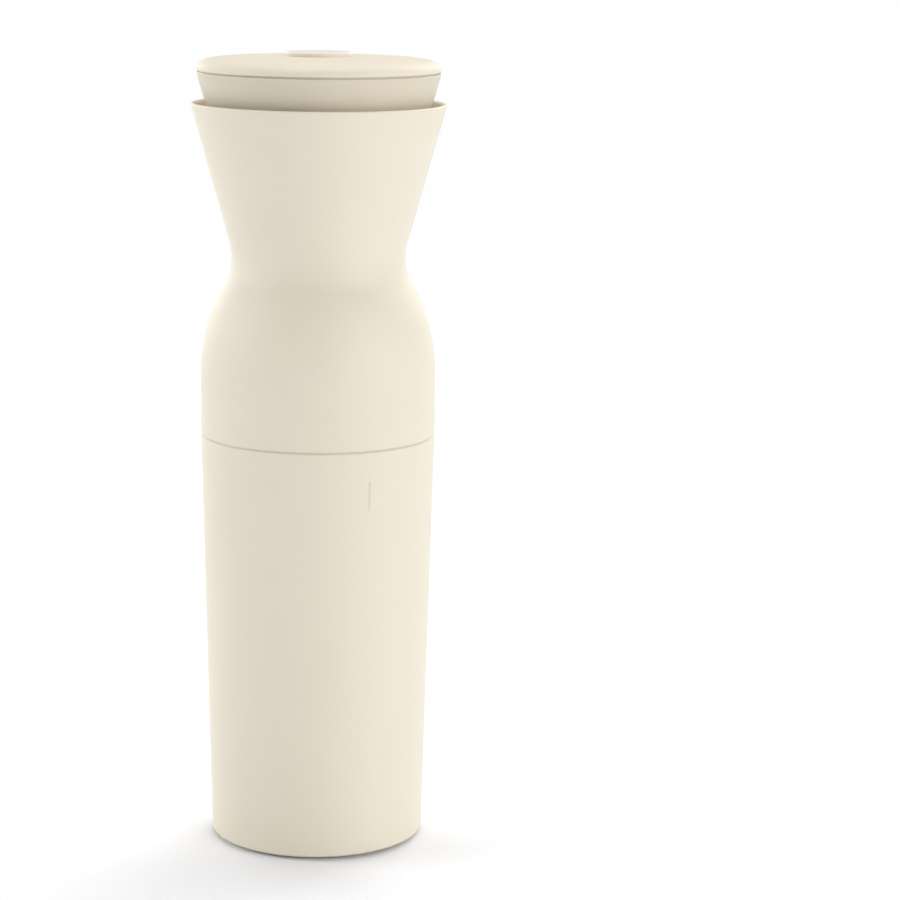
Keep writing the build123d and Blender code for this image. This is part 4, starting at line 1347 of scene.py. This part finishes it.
@dataclass(frozen=True)
class Spokes:
    """Straight spokes that join a hub to a hoop."""

    count: int
    width: float
    overlap: float
    rounding: float
    sink: float = 0.01

    def wheel(
        self, name: str, finish: Finish, hoop: Outline, hub: Outline, hub_segments: int
    ) -> Piece:
        """Returns a hoop and a hub joined by the spokes.

        Args:
            name: The piece's name.
            finish: Its finish.
            hoop: The hoop's section, a block.
            hub: The hub's section, a block.
            hub_segments: Steps round the hub.

        Returns:
            The new piece.
        """
        hub_edge, low, _ = hub.knots[1]
        hoop_bore, high, _ = hoop.knots[3]
        half = self.width / 2
        start = Vector((hub_edge - self.overlap, -half, low + self.sink))
        end = Vector((hoop_bore + self.overlap, half, high - self.sink))
        spoke = bar("spoke", start, end, self.rounding)
        ring = joined("ring", turned("hoop", hoop), turned("hub", hub, segments=hub_segments))
        return combine(name, Joining.ADD, finish, ring, spoke, self.count)


# ------------------------------------------------------------------ drain valve
@dataclass
class DrainValve:
    """The valve in the drain: seat, guide and spring on the brewer, and the stopper that moves."""

    brewer: str = "brewer"
    body: str = "valve"
    seat_wall: float = 1.2
    seat_flange: float = 1.5
    stem: float = 2.2
    stem_bevel: float = 0.4
    stopper_edge: float = 2.0
    stopper_bulge: float = 0.62
    nose: float = 5.0
    guide_rim: float = 3.0
    guide_hub: float = 5.0
    guide_bore: float = 2.3
    arms: Spokes = Spokes(3, 2.4, 0.6, 0.35)
    pad_dish: float = 0.2
    pad_socket: float = 2.0
    pad_shares: Point = (0.55, 0.8)
    pad_slope: float = 0.6
    spring: Spring = Spring(4.0, 0.35, 6.0, 240, 0.535)

    def build(self) -> None:
        """Builds and dresses every piece of the valve."""
        install(self.seat(), RUBBER, self.brewer, "silicone", "valve_seat")
        install(self.guide(), IVORY, self.brewer, "ivory_plastic", "valve_cage")
        low, high = top_of("valve_cage") + FITS.gap, bottom_of("valve_plug") - FITS.gap
        self.spring.build("valve_spring", self.brewer, "valve_open", low, high)
        install(self.stopper(), RUBBER, self.body, "silicone", "valve_plug")
        install(self.stem_rod(), ROD_STEEL, self.body, "steel", "valve_stem")
        install(self.pad(), DARK, self.body, "dark_plastic", "push_pad")

    def seat(self) -> Piece:
        """Returns the soft seat in the drain."""
        low, high, flange = extent("valve_seat")
        sleeve, shoulder = FITS.drain - FITS.gap, low + self.seat_flange
        bore = sleeve - self.seat_wall
        outline = Outline((bore, low, 0.4), (flange, low, 0.5), (flange, shoulder, 0.3))
        outline.add((sleeve, shoulder), (sleeve, high, 0.3), (bore, high, 0.3))
        return turned("valve_seat", outline, segments=DRAIN_SEGMENTS)

    def guide(self) -> Piece:
        """Returns the guide of the stem: a rim and a hub joined by arms."""
        low, high, rim = extent("valve_cage")
        hoop = block(rim - self.guide_rim, rim, low, high, 0.4, 0.4, 0.3, 0.4)
        hub = block(self.guide_bore, self.guide_hub, low, high, 0.3, 0.4, 0.4, 0.3)
        return self.arms.wheel("valve_cage", IVORY, hoop, hub, ROD_SEGMENTS)

    def stopper(self) -> Piece:
        """Returns the soft stopper, rounded below so that it drips from its middle."""
        low, high, edge = extent("valve_plug")
        bore = self.stem + FITS.gap
        outline = Outline((bore, high), (bore, low), (self.nose, low))
        outline.bulge((edge, high - self.stopper_edge), self.stopper_bulge)
        outline.corner(edge, high, 0.4)
        return turned("valve_plug", outline, segments=DRAIN_SEGMENTS)

    def stem_rod(self) -> Piece:
        """Returns the steel stem."""
        low, high, _ = extent("valve_stem")
        edge, bevel = self.stem, self.stem_bevel
        outline = Outline((0, low), (edge - bevel, low, 0.1), (edge, low + bevel, 0.1))
        outline.add((edge, high, 0.1), (0, high))
        return turned("valve_stem", outline, closed=False, segments=ROD_SEGMENTS)

    def pad(self) -> Piece:
        """Returns the pad on the stem that the rod pushes, slightly dished on top."""
        low, high, edge = extent("push_pad")
        bore, socket, dish = self.stem + FITS.gap, high - self.pad_socket, self.pad_dish
        near, far = (edge * share for share in self.pad_shares)
        outline = Outline((0, high - dish), (near, high - dish * self.pad_slope, 1.0))
        outline.add((far, high, 0.4), (edge, high, 0.8), (edge, low, 0.3))
        outline.add((bore, low, 0.2), (bore, socket), (0, socket))
        return turned("push_pad", outline, closed=False, segments=TUBE_SEGMENTS)


# ------------------------------------------------------------------ filter cup
@dataclass
class FilterCup:
    """The cup in the funnel, with the mesh filter under its neck and the tube for the push rod."""

    body: str = "cup"
    edge_round: float = 0.4
    seat_groove: float = 0.5
    seat_notches: int = 6
    notch_depth: float = 3.4
    notch_width: float = 7.0
    notch_reach: float = 2.0
    mesh_wall: float = 0.5
    screen_inset: float = 0.3
    screen_wall: float = 0.15
    weave_inset: float = 0.235
    weave_wire: float = 0.115
    weave_wave: float = 0.11
    weave_pitch: float = 1.1
    clamp_wall: float = 0.8
    frame_wall: float = 1.4
    hoop_height: float = 3.0
    ribs: int = 8
    rib_width: float = 2.2
    rib_overlap: float = 0.6
    rib_sink: float = 0.12
    rib_lap: float = 0.02
    spokes: Spokes = Spokes(4, 2.2, 0.7, 0.3)
    base_rim: float = 3.0
    hub: float = 7.0
    tube_bore: float = 3.4
    tube_wall: float = 1.0
    bush_gap: float = 0.1

    def build(self) -> None:
        """Builds and dresses every piece of the cup."""
        install(self.cup(), CREAM_CUP, self.body, "cream_plastic", "filter_cup")
        install(self.seat_ring(), RUBBER, self.body, "silicone", "cup_seat_ring")
        install(self.screen(), SCREEN, self.body, "steel_mesh", "filter_mesh")
        install(self.weave(), WIRE_STEEL, self.body, "steel_mesh")
        install(self.screen_floor(), FLAT_SCREEN, self.body, "steel_mesh", "mesh_disc")
        install(self.top_ring(), STEEL, self.body, "steel", "filter_top_ring")
        install(self.frame(), DARK, self.body, "dark_plastic", "filter_frame")
        install(self.base(), DARK, self.body, "dark_plastic", "filter_base")
        install(self.tube(), STEEL, self.body, "steel", "rod_tube")
        install(self.bush(), DARK, self.body, "dark_plastic", "tube_bush")

    def cup(self) -> Piece:
        """Returns the cup, whose collar stands above the rim of the brewer."""
        low, high, _ = extent("filter_cup")
        ring_low, ring_high, _ = extent("cup_seat_ring")
        ring_low, ring_high, inset = ring_low - FITS.gap, ring_high + FITS.gap, FITS.cup_inset
        outside = FORM.cup(inset, low, high, (0.4, self.edge_round))
        top_corner = outside.knots.pop()
        for height, depth in ((ring_low, 0), (ring_low, 1), (ring_high, 1), (ring_high, 0)):
            outside.corner(*FORM.on_funnel(height, inset + depth * self.seat_groove))
        outside.knots.append(top_corner)
        inside = FORM.cup(inset + FITS.cup_wall, low, high, (0.3, self.edge_round))
        return turned("filter_cup", outside.down(inside))

    def seat_ring(self) -> Piece:
        """Returns the soft ring that the cup rests on, with notches that let air out."""
        low, high, _ = extent("cup_seat_ring")
        outer = FITS.brewer_wall + FITS.seat_gap
        inner = FITS.cup_inset + self.seat_groove - FITS.gap
        outline = Outline(FORM.on_funnel(low, outer, 0.4), FORM.on_funnel(high, outer, 0.6))
        outline.add(FORM.on_funnel(high, inner), FORM.on_funnel(low, inner))
        middle = FORM.funnel(low - FITS.gap, FITS.brewer_wall)
        reach, half = self.notch_depth / 2, self.notch_width / 2
        start = Vector((middle - reach, -half, low - 1))
        end = Vector((middle + reach + self.notch_reach, half, high + 1))
        ring, notch = turned("ring", outline), bar("notch", start, end, 0.5)
        return combine("cup_seat_ring", Joining.CUT, RUBBER, ring, notch, self.seat_notches)

    def screen(self) -> Piece:
        """Returns the fine screen of the filter, inside the woven support."""
        low, high, edge = extent("filter_mesh")
        outer = edge - self.screen_inset
        inner = outer - self.screen_wall
        outline = Outline((outer, low), (outer, high), (inner, high), (inner, low))
        return turned("filter_mesh", outline)

    def weave(self) -> Piece:
        """Returns the woven support of the screen."""
        low, high, edge = extent("filter_mesh")
        low, high, radius = low + self.screen_wall, high - self.screen_wall, edge - self.weave_inset
        hoops = int((high - low) / self.weave_pitch) + 1
        values = {
            "Radius": radius * MM,
            "Wire": self.weave_wire * MM,
            "Wave": self.weave_wave * MM,
            "Bottom": low * MM,
            "Pitch": (high - low) / (hoops - 1) * MM,
            "Hoops": hoops,
            "Uprights": 2 * round(math.pi * radius / self.weave_pitch),
        }
        return weave_tree().grow("filter_mesh_weave", WIRE_STEEL, values)

    def screen_floor(self) -> Piece:
        """Returns the screen in the floor of the filter."""
        low, high, outer = extent("mesh_disc")
        inner = self.tube_bore + self.tube_wall + FITS.gap
        return turned("mesh_disc", block(inner, outer, low, high, 0.0, 0.1, 0.1, 0.0))

    def top_ring(self) -> Piece:
        """Returns the steel ring that clamps the screen in the neck of the cup."""
        low, high, outer = extent("filter_top_ring")
        clamp = radius_of("filter_mesh") - self.mesh_wall - FITS.gap
        bore, flange = clamp - self.clamp_wall, high - self.clamp_wall
        outline = Outline((bore, low, 0.15), (clamp, low, 0.15), (clamp, flange))
        outline.add((outer, flange, 0.1), (outer, high, 0.2), (bore, high, 0.5))
        return turned("filter_top_ring", outline)

    def frame(self) -> Piece:
        """Returns the frame round the screen: two hoops joined by ribs."""
        low, high, outer = extent("filter_frame")
        inner, half = outer - self.frame_wall, self.rib_width / 2
        hoops = []
        for bottom in (low, high - self.hoop_height):
            outline = block(inner, outer, bottom, bottom + self.hoop_height, 0.2, 0.35, 0.35, 0.2)
            hoops.append(turned("hoop", outline))
        into_hoop = self.hoop_height - self.rib_overlap
        start = Vector((math.hypot(inner, half) - self.rib_lap, -half, low + into_hoop))
        end = Vector((outer - self.rib_sink, half, high - into_hoop))
        rib = bar("rib", start, end, 0.3)
        return combine("filter_frame", Joining.ADD, DARK, joined("hoops", *hoops), rib, self.ribs)

    def base(self) -> Piece:
        """Returns the spoked base of the filter."""
        low, high, outer = extent("filter_base")
        bore = self.tube_bore + self.tube_wall + FITS.gap
        hoop = block(outer - self.base_rim, outer, low, high, 0.3, 0.5, 0.0, 0.2)
        hub = block(bore, self.hub, low, high, 0.2, 0.4, 0.2, 0.0)
        return self.spokes.wheel("filter_base", DARK, hoop, hub, TUBE_SEGMENTS)

    def tube(self) -> Piece:
        """Returns the tube that leads the push rod through the filter."""
        low, high, _ = extent("rod_tube")
        bore, outer = self.tube_bore, self.tube_bore + self.tube_wall
        flange_low, flange_high = top_of("mesh_disc"), top_of("mesh_disc") + self.tube_wall
        outline = Outline((bore, low, 0.15), (outer, low, 0.15), (outer, flange_low))
        outline.add((self.hub, flange_low), (self.hub, flange_high, 0.3), (outer, flange_high, 0.5))
        outline.add((outer, high), (bore, high))
        return turned("rod_tube", outline, segments=TUBE_SEGMENTS)

    def bush(self) -> Piece:
        """Returns the bush in the top of the tube, with a lead-in for the rod."""
        low, high, flange = extent("tube_bush")
        step, bore, outer = top_of("rod_tube"), FITS.rod + self.bush_gap, self.tube_bore - FITS.gap
        outline = Outline((bore, low, 0.2), (outer, low, 0.3), (outer, step), (flange, step, 0.2))
        outline.add((flange, high, 0.5), (bore, high, 0.5))
        return turned("tube_bush", outline, segments=TUBE_SEGMENTS)


# ------------------------------------------------------------------ lid
@dataclass
class Lid:
    """The lid: its round-edged disc, the dish under it, the seals and the spring of the button."""

    body: str = "lid"
    cup_inset: float = FITS.cup_inset + FITS.cup_wall
    cup_gap: float = 0.5
    edge_height: float = 1.2
    edge_drop: float = 3.2
    edge_reach: float = 8.0
    edge_steps: int = 16
    dome: float = 0.9
    dome_steps: int = 12
    wall: float = 2.0
    hollow_inset: float = 4.3
    underside_round: float = 0.5
    button_bore: float = 12.3
    bore_round: float = 0.35
    sleeve: float = 1.5
    dish_gap: float = 1.2
    dish_wall: float = 1.6
    dish_flange: float = 1.6
    dish_depth: float = 7.8
    guide_gap: float = 0.25
    guide_wall: float = 1.8
    wiper_groove: float = 0.9
    wiper_height: float = 3.0
    wiper_gap: float = 0.1
    seal_depth: float = 0.6
    spring: Spring = Spring(6.5, 0.45, 6.5, 320, 0.66)

    def build(self) -> None:
        """Builds and dresses every piece of the lid."""
        install(self.cover(), CREAM_LID, self.body, "cream_plastic", "lid_cover")
        install(self.dish(), IVORY, self.body, "ivory_plastic", "lid_base")
        install(self.seal(), RUBBER, self.body, "silicone", "lid_seal")
        install(self.wiper(), RUBBER, self.body, "silicone", "rod_seal")
        low, high, _ = extent("button_spring")
        self.spring.build("button_spring", self.body, "button_press", low, high)

    def cover(self) -> Piece:
        """Returns the disc of the lid: a round edge, a shallow dome and the sleeve of the button."""
        low, top, radius = extent("lid_cover")
        bottom = top_of("filter_cup") + self.cup_gap
        side_top, flange_top = bottom + self.edge_height, top_of("filter_cup") + self.dish_flange
        bore, sleeve = self.button_bore, self.button_bore + self.sleeve
        skirt, crown = radius_of("lid_base") + FITS.gap, radius - self.edge_reach
        inner, roof = radius - self.hollow_inset, top - self.wall
        outline = Outline((skirt, bottom), (radius, bottom, self.underside_round))
        outline.corner(radius, side_top)
        for step in range(1, self.edge_steps + 1):
            turn = math.pi / 2 * step / self.edge_steps
            edge = radius - self.edge_reach * (1 - math.cos(turn))
            outline.corner(edge, side_top + self.edge_drop * math.sin(turn))
        for step in range(1, self.dome_steps):
            share = 1 - step / self.dome_steps
            outline.corner(bore + (crown - bore) * share, top - self.dome * share**2)
        outline.add((bore, top, self.bore_round), (bore, low), (sleeve, low, 0.3))
        outline.add((sleeve, roof, 0.5), (inner, roof - self.dome, 0.5))
        outline.add((inner, flange_top), (skirt, flange_top))
        return turned("lid_cover", outline)

    def dish(self) -> Piece:
        """Returns the dish under the lid, with the guide of the rod."""
        guide_low, top, flange = extent("lid_base")
        seal_low, seal_high = bottom_of("lid_seal") - FITS.gap, top_of("lid_seal") + FITS.gap
        cup_top, outer = top_of("filter_cup"), self.cup_inset + self.dish_gap
        low, inner = cup_top - self.dish_depth, outer + self.dish_wall
        floor = low + self.dish_wall
        bore = FITS.rod + self.guide_gap
        guide, groove = bore + self.guide_wall, bore + self.wiper_groove
        groove_top = guide_low + self.wiper_height
        outline = Outline((groove, guide_low, 0.1), (guide, guide_low, 0.3), (guide, low, 0.6))
        outline.add(FORM.on_funnel(low, outer, 0.8))
        for height, depth in ((seal_low, 0), (seal_low, 1), (seal_high, 1), (seal_high, 0)):
            outline.corner(*FORM.on_funnel(height, outer + depth * self.seal_depth))
        outline.add(FORM.on_funnel(cup_top, outer), (flange, cup_top), (flange, top, 0.3))
        outline.add(FORM.on_funnel(top, inner, 0.3), FORM.on_funnel(floor, inner, 1.0))
        outline.add((bore, floor, 0.3), (bore, groove_top), (groove, groove_top))
        return turned("lid_base", outline)

    def seal(self) -> Piece:
        """Returns the soft ring round the dish, with a rounded lip."""
        low, high, _ = extent("lid_seal")
        outer = self.cup_inset + FITS.seat_gap
        inner = self.cup_inset + self.dish_gap + self.seal_depth - FITS.gap
        outline = Outline(FORM.on_funnel(low, inner), FORM.on_funnel(low, outer, 0.5))
        outline.add(FORM.on_funnel(high, outer, 0.5), FORM.on_funnel(high, inner))
        return turned("lid_seal", outline)

    def wiper(self) -> Piece:
        """Returns the seal of the rod, in the end of the guide."""
        low, high, outer = extent("rod_seal")
        outline = block(FITS.rod + self.wiper_gap, outer, low, high, 0.2, 0.15, 0.0, 0.2)
        return turned("rod_seal", outline, segments=ROD_SEGMENTS)


# ------------------------------------------------------------------ push button
@dataclass
class PushButton:
    """The button in the middle of the lid, with the rod that reaches down to the valve."""

    body: str = "button"
    radius: float = 12.0
    edge_round: float = 0.7
    crest_inset: float = 0.5
    dish: float = 0.3
    dish_steps: int = 12
    top_wall: float = 1.8
    side_wall: float = 1.6
    stop_height: float = 1.0
    hub_wall: float = 1.1
    hub_bottom: float = 285.3
    rod_bevel: float = 0.5
    spigot: float = 1.6
    tip_socket: float = 2.0

    def build(self) -> None:
        """Builds and dresses the button, its rod and its tip."""
        install(self.cap(), CREAM_BUTTON, self.body, "cream_plastic", "push_button")
        install(self.push_rod(), ROD_STEEL, self.body, "steel", "push_rod")
        install(self.tip(), RUBBER, self.body, "silicone", "rod_tip")

    def cap(self) -> Piece:
        """Returns the cap, which is slightly dished for a fingertip."""
        low, top, stop = extent("push_button")
        roof, stop_top = top - self.top_wall, low + self.stop_height
        inner = self.radius - self.side_wall
        bore, rod_top = FITS.rod + FITS.gap, top_of("push_rod") + FITS.gap
        hub, hub_low = bore + self.hub_wall, self.hub_bottom
        crest = self.radius - self.edge_round - self.crest_inset
        outline = Outline((0, top - self.dish))
        for share in (step / self.dish_steps for step in range(1, self.dish_steps)):
            outline.corner(crest * share, top - self.dish * (1 - share**2) ** 2)
        outline.add((crest, top), (self.radius, top, self.edge_round), (self.radius, stop_top, 0.2))
        outline.add((stop, stop_top, 0.2), (stop, low, 0.3), (inner, low, 0.3), (inner, roof, 0.5))
        outline.add((hub, roof, 0.4), (hub, hub_low, 0.3), (bore, hub_low, 0.2))
        outline.add((bore, rod_top), (0, rod_top))
        return turned("push_button", outline, closed=False)

    def push_rod(self) -> Piece:
        """Returns the rod, with the spigot that holds its tip."""
        low, high, _ = extent("push_rod")
        step, rod, bevel = top_of("rod_tip"), FITS.rod, self.rod_bevel
        outline = Outline((0, low), (self.spigot, low, 0.2), (self.spigot, step), (rod, step))
        outline.add((rod, high - bevel, 0.1), (rod - bevel, high, 0.1), (0, high))
        return turned("push_rod", outline, closed=False, segments=ROD_SEGMENTS)

    def tip(self) -> Piece:
        """Returns the soft tip on the end of the rod."""
        low, high, _ = extent("rod_tip")
        bore, socket = self.spigot + FITS.gap, high - self.tip_socket
        outline = Outline((0, low), (FITS.rod, low, 0.6), (FITS.rod, high, 0.2), (bore, high))
        outline.add((bore, socket), (0, socket))
        return turned("rod_tip", outline, closed=False, segments=ROD_SEGMENTS)


# ------------------------------------------------------------------ studio
def hang(name: str, light: bpy.types.Light, place: Vector, way: Vector) -> None:
    """Adds a light to the scene at a place, shining one way, unseen by the camera."""
    lamp = bpy.data.objects.new(name, light)
    lamp.location = place
    lamp.rotation_euler = way.to_track_quat("-Z", "Y").to_euler()
    lamp.visible_camera = False
    bpy.context.scene.collection.objects.link(lamp)


@dataclass(frozen=True)
class FarLamp:
    """A wide soft light so far away that it lights the whole floor alike."""

    name: str
    bearing: float
    elevation: float
    strength: float
    spread: float = 40.0

    def build(self) -> None:
        """Adds the light, at a bearing in degrees from the front towards the right."""
        light = bpy.data.lights.new(self.name, "SUN")
        light.energy = self.strength
        light.angle = math.radians(self.spread)
        bearing, elevation = math.radians(self.bearing), math.radians(self.elevation)
        reach = math.cos(elevation)
        way = Vector((reach * math.sin(bearing), -reach * math.cos(bearing), math.sin(elevation)))
        hang(self.name, light, way, -way)


@dataclass(frozen=True)
class Softbox:
    """A square soft light above the lid."""

    name: str
    place: tuple[float, float, float]
    aim: tuple[float, float, float]
    size: float
    power: float

    def build(self) -> None:
        """Adds the light."""
        light = bpy.data.lights.new(self.name, "AREA")
        light.size = self.size
        light.energy = self.power
        hang(self.name, light, Vector(self.place), Vector(self.aim) - Vector(self.place))


@dataclass
class Studio:
    """A plain pale floor, soft light from all round, and the camera."""

    floor_reach: float = 40.0
    sky: float = 0.15
    backdrop: float = 1.0
    lamps: tuple[FarLamp | Softbox, ...] = (
        FarLamp("front_right", 30.0, 22.0, 0.903),
        FarLamp("right_low", 60.0, 6.0, 1.445),
        FarLamp("back_right", 120.0, 42.0, 0.548),
        FarLamp("back", 150.0, 22.0, 1.03),
        FarLamp("back_top", 180.0, 66.0, 0.773),
        FarLamp("back_low", 210.0, 6.0, 1.176),
        FarLamp("back_left_low", 240.0, 6.0, 0.397),
        FarLamp("left", 270.0, 22.0, 1.53),
        Softbox("over_lid", (0.0, 0.0, 1.0), (0.0, 0.0, 0.29), 0.55, 1.5),
    )
    camera_place: tuple[float, float, float] = (0.0, -1.02799, 0.34684)
    camera_down: float = 10.977
    camera_right: float = 2.747
    camera_roll: float = 0.693
    focal_pixels: float = 2802.45
    picture_pixels: float = 900.0
    sensor: float = 36.0

    def build(self) -> None:
        """Adds the floor, the light and the camera."""
        self.add_floor()
        self.add_sky()
        for lamp in self.lamps:
            lamp.build()
        self.add_camera()

    def add_floor(self) -> None:
        """Adds the floor at the height on which the maker stands."""
        reach = self.floor_reach
        mesh = bpy.data.meshes.new("floor")
        corners = [(-reach, -reach, 0), (reach, -reach, 0), (reach, reach, 0), (-reach, reach, 0)]
        mesh.from_pydata(corners, [], [(0, 1, 2, 3)])
        floor = bpy.data.objects.new("floor", mesh)
        bpy.context.scene.collection.objects.link(floor)
        mesh.materials.append(made(PAPER))

    def add_sky(self) -> None:
        """Surrounds the floor with a plain white backdrop that gives a little even light."""
        world = bpy.data.worlds.new("studio")
        world.use_nodes = True
        world.node_tree.nodes.clear()
        tree = Tree(world.node_tree)
        seen = tree.node("ShaderNodeLightPath")[0]
        strength = self.sky + seen * (self.backdrop - self.sky)
        white = {"Color": (1.0, 1.0, 1.0, 1.0), "Strength": strength}
        backdrop = tree.node("ShaderNodeBackground", {}, white)[0]
        tree.node("ShaderNodeOutputWorld", {}, {"Surface": backdrop})
        bpy.context.scene.world = world
        bpy.context.scene.view_settings.view_transform = "Standard"

    def add_camera(self) -> None:
        """Adds the camera, level but for a slight roll."""
        turns = (self.camera_down, self.camera_right, self.camera_roll)
        down, right, roll = (math.radians(turn) for turn in turns)
        level = math.cos(down)
        ahead = Vector((math.sin(right) * level, math.cos(right) * level, -math.sin(down)))
        side = Vector((math.cos(right), -math.sin(right), 0.0))
        above = side.cross(ahead)
        rolled_side = side * math.cos(roll) + above * math.sin(roll)
        rolled_above = above * math.cos(roll) - side * math.sin(roll)
        facing = Matrix((rolled_side, rolled_above, -ahead)).transposed()
        lens = bpy.data.cameras.new("camera")
        lens.sensor_width = self.sensor
        lens.lens = self.focal_pixels / self.picture_pixels * self.sensor
        lens.clip_end = 4 * self.floor_reach
        camera = bpy.data.objects.new("camera", lens)
        camera.matrix_world = Matrix.Translation(self.camera_place) @ facing.to_4x4()
        bpy.context.scene.collection.objects.link(camera)
        bpy.context.scene.camera = camera


def main() -> None:
    """Builds the sub-assemblies from the foot up, then the studio."""
    logging.basicConfig(level=logging.INFO, format="%(name)s: %(message)s")
    for part in (Carafe(), Brewer(), DrainValve(), FilterCup(), Lid(), PushButton(), Studio()):
        log.info("building %s", type(part).__name__)
        part.build()


if __name__ == "__main__":
    main()
